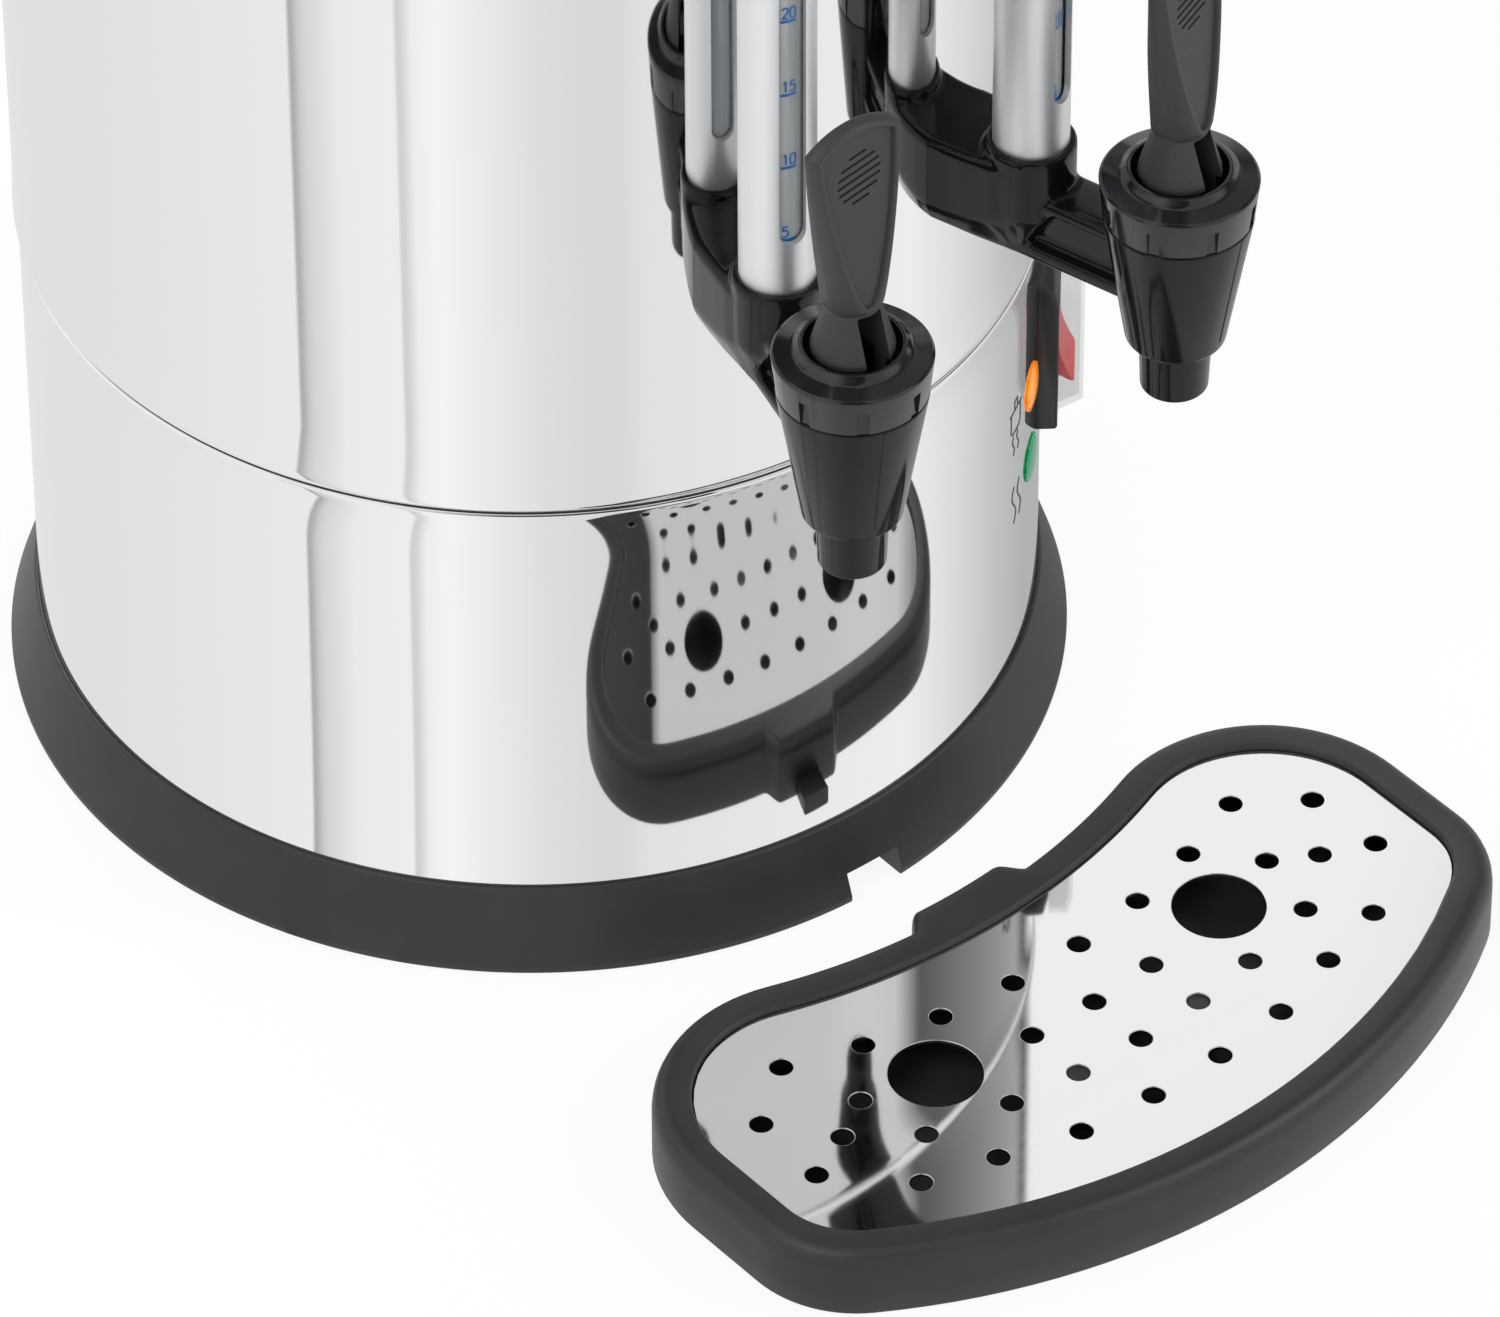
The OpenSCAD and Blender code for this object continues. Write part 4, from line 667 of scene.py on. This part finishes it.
LENS = [(0.0, -14.0), (5.0, -14.0), (5.0, 0.05), (6.6, 0.05), (6.6, 0.3), (6.45, 0.45), (6.0, 0.45)]
FACETS = [(5.9, 0.4), (5.3, 0.8), (3.8, 1.1), (1.8, 1.3), (0.0, 1.3)]
for name, finish, z in (("amber", amber_lens, 101.0), ("green", green_lens, 77.3)):
    place = turned(LAMP_ANGLE) @ moved(0, -SKIRT_R, z) @ Matrix.Rotation(math.pi / 2, 4, "X")
    base = lathe(LENS + [(0.0, 0.45)], 72)
    gem = lathe(FACETS + [(0.0, 0.4)], 18)
    piece(mesh_object(name + "_lens", merged(base, gem), place, 9.0), finish, "body", name + "_lens", name + "_lamp")

ROCKER_W, ROCKER_HALF, ROCKER_TILT, PIVOT_R, SWITCH_Z = 17.0, 12.5, 9.0, 132.6, 102.2


def rocker_part():
    """A rocker with a hollowed face, about its pivot, its face towards -Y."""
    heights = [ROCKER_HALF * (1 - k / 10) for k in range(21)]
    hollow = [(2.0 + 2.2 * (z / ROCKER_HALF) ** 2, z) for z in heights]
    section = hollow + [(3.4, -ROCKER_HALF + 0.2), (0.0, -9.6), (-4.8, -1.5), (-4.8, 1.5), (0.0, 9.6),
                        (3.4, ROCKER_HALF - 0.2)]
    loops = []
    for x, shrink in ((-1.0, 0.93), (-0.97, 0.975), (-0.9, 1.0), (0.9, 1.0), (0.97, 0.975), (1.0, 0.93)):
        loops.append([(x * ROCKER_W / 2, -out * shrink, z * (1 - (1 - shrink) * 0.5)) for out, z in section])
    return loft(loops)


place = turned(SWITCH_ANGLE) @ moved(0, -PIVOT_R, SWITCH_Z) @ Matrix.Rotation(math.radians(-ROCKER_TILT), 4, "X")
obj = mesh_object("rocker_key", rocker_part(), place)
axle = lathe([(0.0, -10.0), (1.2, -10.0), (1.2, 10.0), (0.0, 10.0)], 24)
cut(obj, axle, place @ Matrix.Rotation(math.pi / 2, 4, "Y"), "UNION")
piece(obj, rocker_red, "rocker", "rocker_red", "rocker")

BEZEL = rounded([(-128, 79.4, 0), (-134.6, 79.8, 0.9), (-134.6, 119.8, 0.6), (-133.3, 126, 1.2), (-128, 126.8, 0)])
BEZEL_Y, BEZEL_Z, BEZEL_HOLE = -131.5, 103, 15
COVER = [(-134.65, 85.8, 0), (-141, 89.7, 0.5), (-141, 119.8, 0.5), (-139.7, 125.8, 0.7), (-134.65, 125.8, 0)]
COVER_IN = [(-134, 87.0, 0), (-140, 90.4, 0.3), (-140, 119.6, 0.3), (-138.9, 124.8, 0.4), (-134, 124.8, 0)]
place = turned(SWITCH_ANGLE)
loops = [[(x, BEZEL_Y + (y - BEZEL_Y) * draw, BEZEL_Z + (z - BEZEL_Z) * (1 - (1 - draw) * 0.12)) for y, z in BEZEL]
         for x, draw in ((-15.0, 0.85), (-14.8, 0.95), (-14.4, 1.0), (14.4, 1.0), (14.8, 0.95), (15.0, 0.85))]
obj = mesh_object("bezel_moulding", loft(loops), place)
cut(obj, lathe([(0, 60), (SKIRT_R + 0.03, 60), (SKIRT_R + 0.03, 140), (0, 140)], WALL_STEPS))
cut(obj, bar(-11, 11, -140, -120, SWITCH_Z - BEZEL_HOLE, SWITCH_Z + BEZEL_HOLE, 1.0), place)
piece(obj, switch_black, "body", "switch_plastic", "switch_bezel")
obj = mesh_object("cover_shell", slab(-14, 14, COVER), place)
cut(obj, slab(-13, 13, COVER_IN), place)
piece(obj, cover_clear, "body", "clear_cover", "switch_cover")


# Drip tray

TRAY_Y, TRAY_HALF, LOBE_R, CORNER_R = 213.06, 117.0, 43.5, 32.0
REAR_R, REAR, FRONT_R, FRONT = 178.0, 41.7, 190.0, 70.6
TAB_D, TAB_FLAT, TAB_END, TRAY_TURN = 6.0, 12.6, 19.0, 0.7
LOBE_X, CORNER_X = TRAY_HALF - LOBE_R, TRAY_HALF - CORNER_R
REAR_C = -TRAY_Y + REAR + REAR_R
LOBE_Y = REAR_C - math.sqrt((REAR_R + LOBE_R) ** 2 - LOBE_X**2)
FRONT_C = -TRAY_Y - FRONT + FRONT_R
CORNER_Y = FRONT_C - math.sqrt((FRONT_R - CORNER_R) ** 2 - CORNER_X**2)


def arc(cx, cy, r, start, end, steps):
    turns = [start + (end - start) * k / steps for k in range(steps + 1)]
    return [(cx + r * math.cos(a), cy + r * math.sin(a)) for a in turns]


def tray_loop(d, z, tab):
    """The tray's outline drawn in by d at height z, with a share of the tab behind it."""
    lobe_turn = math.atan2(REAR_C - LOBE_Y, -LOBE_X)
    corner_turn = math.atan2(CORNER_Y - FRONT_C, CORNER_X)
    half = arc(0, FRONT_C, FRONT_R - d, -math.pi / 2, corner_turn, 16)
    half += arc(CORNER_X, CORNER_Y, CORNER_R - d, corner_turn, 0, 14)[1:]
    half += arc(LOBE_X, LOBE_Y, LOBE_R - d, 0, lobe_turn, 26)
    rear = arc(0, REAR_C, REAR_R + d, lobe_turn - math.pi, -math.pi / 2, 72)[1:]
    for x, y in rear:
        t = min(1.0, max(0.0, (TAB_END - abs(x)) / (TAB_END - TAB_FLAT)))
        half.append((x, y + tab * TAB_D * t * t * (3 - 2 * t)))
    return [(x, y, z) for x, y in half] + [(-x, y, z) for x, y in reversed(half[1:-1])]


# Distances drawn in, heights and shares of the tab, from the underside over the rim down to the pan's floor
TRAY_SECTION = [
    (1.2, 0.0, 1), (0.35, 0.25, 1), (0.0, 1.0, 1), (0.0, 7.0, 1), (0.0, 14.6, 1), (0.25, 16.6, 1), (0.9, 18.2, 1),
    (2.0, 19.35, 1), (3.3, 19.88, 1), (4.6, 20.0, 0.9), (8.6, 20.0, 0.1), (9.5, 19.85, 0), (9.95, 19.3, 0),
    (10.0, 17.2, 0), (10.2, 17.0, 0), (13.3, 17.0, 0), (13.5, 16.8, 0), (13.7, 4.2, 0), (14.2, 3.0, 0),
    (15.4, 2.5, 0),
]
HOOK_HALF, HOOK_FRONT, HOOK_REAR, HOOK_TOP = 5.5, -168.2, -157.4, 6.0
POST = [(0.0, 1.5), (4.0, 1.5), (4.0, 16.8), (3.8, 17.0), (0.0, 17.0)]
POST_X, POST_Y = 20.2, -235.86
tray = mesh_object("tray_pan", loft([tray_loop(*level) for level in TRAY_SECTION]), turned(TRAY_TURN), 40.0)
cut(tray, bar(-HOOK_HALF, HOOK_HALF, HOOK_FRONT, HOOK_REAR, 0.0, HOOK_TOP, 0.8), turned(TRAY_TURN), "UNION")
for x in (-POST_X, POST_X):
    cut(tray, lathe(POST, 40), turned(TRAY_TURN) @ moved(x, POST_Y, 0), "UNION", 40.0)
piece(tray, satin_black, "drip_tray", "base_plastic", "drip_tray")


# CAD nodes that keep their shape

dress("drip_grate", grate_steel, 0.2, 2)
dress("rubber_feet", rubber, 0.8)
dress("bottom_plate", zinc, 0.3)
dress("bottom_screws", plain_steel, 0.4)
dress("tank", tank_steel)
dress("heating_element", heater_metal)
dress("thermostat", phenolic, 0.4)
dress("thermal_cutout", ceramic, 0.4)
dress("terminal_block", ceramic, 0.8)
dress("heater_leads", lead_sleeve)
dress("cable_gland", satin_black, 0.7)
dress("gland_nut", satin_black, 0.4)
dress("handle_screws", plain_steel, 0.4)
dress("switch_body", switch_black, 0.3)
dress("lamp_clips", nylon, 0.3)
for side in SIDES:
    dress(side + "_handle", satin_black)
    dress(side + "_shank_washer", rubber, 0.3)
    dress(side + "_shank_nut", brass, 0.4)
    dress(side + "_lever_pin", dark_steel, 0.2)
    dress(side + "_valve_stem", dark_steel, 0.3)
    dress(side + "_seat_cup", silicone, 0.5)
    dress(side + "_valve_spring", plain_steel)
    dress(side + "_sight_glass", gauge_glass)
    dress(side + "_sight_seal", silicone)
    dress(side + "_sight_cap", gloss_black, 0.8)


# Studio

# The camera's place in metres, its angles in degrees and its lens in millimetres
CAMERA_AT = (-1.4024, -1.8022, 2.0150)
AZIMUTH, ELEVATION, ROLL, LENS_MM = -39.27, 41.66, -0.25, 279.2
SKY_DIM = 0.55
FLOOR_HALF, FLOOR_Z, FLOOR_TONE, FLOOR_GLOW = 9, -0.0002, 0.92, 0.9


def is_seen(tree):
    """1 for rays from the camera and for those that metal and glass pass on."""
    path = tree.nodes.new("ShaderNodeLightPath")
    total = path.outputs["Is Camera Ray"]
    for name in ("Is Glossy Ray", "Is Transmission Ray"):
        add = tree.nodes.new("ShaderNodeMath")
        add.operation = "MAXIMUM"
        tree.links.new(total, add.inputs[0])
        tree.links.new(path.outputs[name], add.inputs[1])
        total = add.outputs[0]
    return total


scene = bpy.context.scene
scene.view_settings.view_transform = "Standard"
world = bpy.data.worlds.new("studio")
scene.world = world
world.use_nodes = True
sky = world.node_tree
level = sky.nodes.new("ShaderNodeMapRange")
level.inputs["To Min"].default_value = SKY_DIM
level.inputs["To Max"].default_value = 1.0
sky.links.new(is_seen(sky), level.inputs["Value"])
sky.links.new(level.outputs["Result"], sky.nodes["Background"].inputs["Strength"])
sky.nodes["Background"].inputs["Color"].default_value = (1.0, 1.0, 1.0, 1.0)

floor_mat, floor_tree, floor_bsdf = shader("pale_floor")
floor_tree.nodes.remove(floor_bsdf)
matt = floor_tree.nodes.new("ShaderNodeBsdfDiffuse")
matt.inputs["Color"].default_value = (FLOOR_TONE, FLOOR_TONE, FLOOR_TONE, 1.0)
glow = floor_tree.nodes.new("ShaderNodeEmission")
share = floor_tree.nodes.new("ShaderNodeMixShader")
part_seen = floor_tree.nodes.new("ShaderNodeMath")
part_seen.operation = "MULTIPLY"
part_seen.inputs[1].default_value = FLOOR_GLOW
floor_tree.links.new(is_seen(floor_tree), part_seen.inputs[0])
floor_tree.links.new(part_seen.outputs[0], share.inputs["Fac"])
floor_tree.links.new(matt.outputs[0], share.inputs[1])
floor_tree.links.new(glow.outputs[0], share.inputs[2])
floor_tree.links.new(share.outputs[0], floor_tree.nodes["Material Output"].inputs["Surface"])
floor_mesh = bpy.data.meshes.new("floor")
floor_corners = [(FLOOR_HALF * x, FLOOR_HALF * y, FLOOR_Z) for x, y in ((-1, -1), (1, -1), (1, 1), (-1, 1))]
floor_mesh.from_pydata(floor_corners, [], [(0, 1, 2, 3)])
floor = bpy.data.objects.new("floor", floor_mesh)
floor.data.materials.append(floor_mat)
scene.collection.objects.link(floor)

# A shaded card on the floor that only reflections see: it puts the soft bands of a studio into the steel.
# Its tones go by the mirror's turn in degrees from the camera's azimuth.
CARD_TONES = [(-90, 0.80), (-60, 0.84), (-40, 0.90), (-26, 0.955), (-25.6, 0.48), (-25.3, 0.5), (-24.6, 0.69),
              (-23.8, 0.78), (-22.4, 0.84), (-20.2, 0.955), (-13.8, 0.98), (-13.4, 0.72), (-13, 0.74), (-11.8, 0.98),
              (-9.4, 1.05), (-4, 0.94), (2, 0.83), (8, 0.78), (10.5, 0.79), (13, 0.86), (30, 0.93), (47, 0.96),
              (55, 0.80), (65, 0.60), (75, 0.48), (90, 0.45)]
CARD_SWEEP, CARD_STRIPS, CARD_STEP, CARD_RUN, CARD_Z = 88, 880, 0.2, 3000.0, 0.05


def tone(angle, keys):
    for (a, p), (b, q) in zip(keys, keys[1:]):
        if angle <= b:
            return p + (q - p) * (angle - a) / (b - a)
    return keys[-1][1]


def glossy_card(name, verts, tones):
    """A glowing card of strips that only reflections see, its corners in pairs, each with its brightness."""
    mesh = bpy.data.meshes.new(name)
    faces = [(k, k + 1, k + 3, k + 2) for k in range(0, len(verts) - 2, 2)]
    mesh.from_pydata([tuple(c * MM for c in v) for v in verts], [], faces)
    shade = mesh.attributes.new("shade", "FLOAT", "POINT")
    shade.data.foreach_set("value", tones)
    mat, tree, bsdf = shader(name)
    tree.nodes.remove(bsdf)
    seen = tree.nodes.new("ShaderNodeAttribute")
    seen.attribute_name = "shade"
    light = tree.nodes.new("ShaderNodeEmission")
    tree.links.new(seen.outputs["Fac"], light.inputs["Color"])
    tree.links.new(light.outputs[0], tree.nodes["Material Output"].inputs["Surface"])
    mesh.materials.append(mat)
    obj = bpy.data.objects.new(name, mesh)
    scene.collection.objects.link(obj)
    obj.visible_camera = obj.visible_diffuse = obj.visible_shadow = False
    obj.visible_transmission = obj.visible_volume_scatter = False


def card():
    """Strips that run out over the floor as light does from a round mirror seen at the camera's azimuth."""
    verts, tones = [], []
    for turn in (-CARD_SWEEP + CARD_STEP * k for k in range(CARD_STRIPS + 1)):
        n, d = math.radians(AZIMUTH + turn), math.radians(AZIMUTH + 2 * turn)
        for run in (2.0, CARD_RUN):
            verts.append((SHELL_R * math.sin(n) + run * math.sin(d),
                          -SHELL_R * math.cos(n) - run * math.cos(d), CARD_Z))
            tones.append(tone(turn, CARD_TONES))
    glossy_card("floor_card", verts, tones)


card()

# A dark ceiling towards the camera that only reflections see, mostly by way of a second mirror.
# Its tones go by the turn in degrees from the front.
CEILING_TONES = [(-150, 1.0), (-70, 0.9), (-45, 0.1), (-14, 0.05), (-12.4, 0.7), (48, 0.72), (56, 0.12), (82, 0.3),
                 (104, 0.45), (112, 0.12), (125, 1.0), (150, 1.0)]
CEILING_SWEEP, CEILING_STRIPS, CEILING_STEP, CEILING_R, CEILING_RISE = 150, 150, 2.0, 1900, (18.0, 82.0)


def ceiling():
    """Strips of a dome about the part, between two elevations."""
    verts, tones = [], []
    for turn in (-CEILING_SWEEP + CEILING_STEP * k for k in range(CEILING_STRIPS + 1)):
        d = math.radians(turn)
        for rise in CEILING_RISE:
            e = math.radians(rise)
            flat = CEILING_R * math.cos(e)
            verts.append((flat * math.sin(d), -flat * math.cos(d), CEILING_R * math.sin(e)))
            tones.append(tone(turn, CEILING_TONES))
    glossy_card("ceiling_card", verts, tones)


ceiling()


def softbox(name, place, target, size, watts):
    """A rectangular studio lamp at a place, turned to a target."""
    light = bpy.data.lights.new(name, "AREA")
    light.shape = "RECTANGLE"
    light.size, light.size_y = size
    light.energy = watts
    lamp = bpy.data.objects.new(name, light)
    lamp.location = place
    lamp.rotation_euler = (Vector(target) - Vector(place)).to_track_quat("-Z", "Y").to_euler()
    scene.collection.objects.link(lamp)


softbox("key", (-1.5, -0.7, 1.9), (0.0, -0.1, 0.2), (1.2, 1.2), 21.0)
softbox("fill", (1.3, -1.6, 1.5), (0.0, -0.15, 0.2), (0.5, 1.4), 19.0)
softbox("back", (0.4, 1.7, 1.8), (0.0, 0.0, 0.2), (1.6, 0.8), 14.0)

a, e, roll = (math.radians(v) for v in (AZIMUTH, ELEVATION, ROLL))
back = Vector((math.sin(a) * math.cos(e), -math.cos(a) * math.cos(e), math.sin(e)))
right = Vector((math.cos(a), math.sin(a), 0.0))
up = back.cross(right)
camera = bpy.data.objects.new("camera", bpy.data.cameras.new("camera"))
camera.data.lens = LENS_MM
camera.data.sensor_width = 36.0
camera.data.clip_start, camera.data.clip_end = 0.05, 60.0
x_axis = right * math.cos(roll) + up * math.sin(roll)
y_axis = up * math.cos(roll) - right * math.sin(roll)
axes = Matrix((x_axis, y_axis, back)).transposed().to_4x4()
camera.matrix_world = Matrix.Translation(CAMERA_AT) @ axes
scene.collection.objects.link(camera)
scene.camera = camera
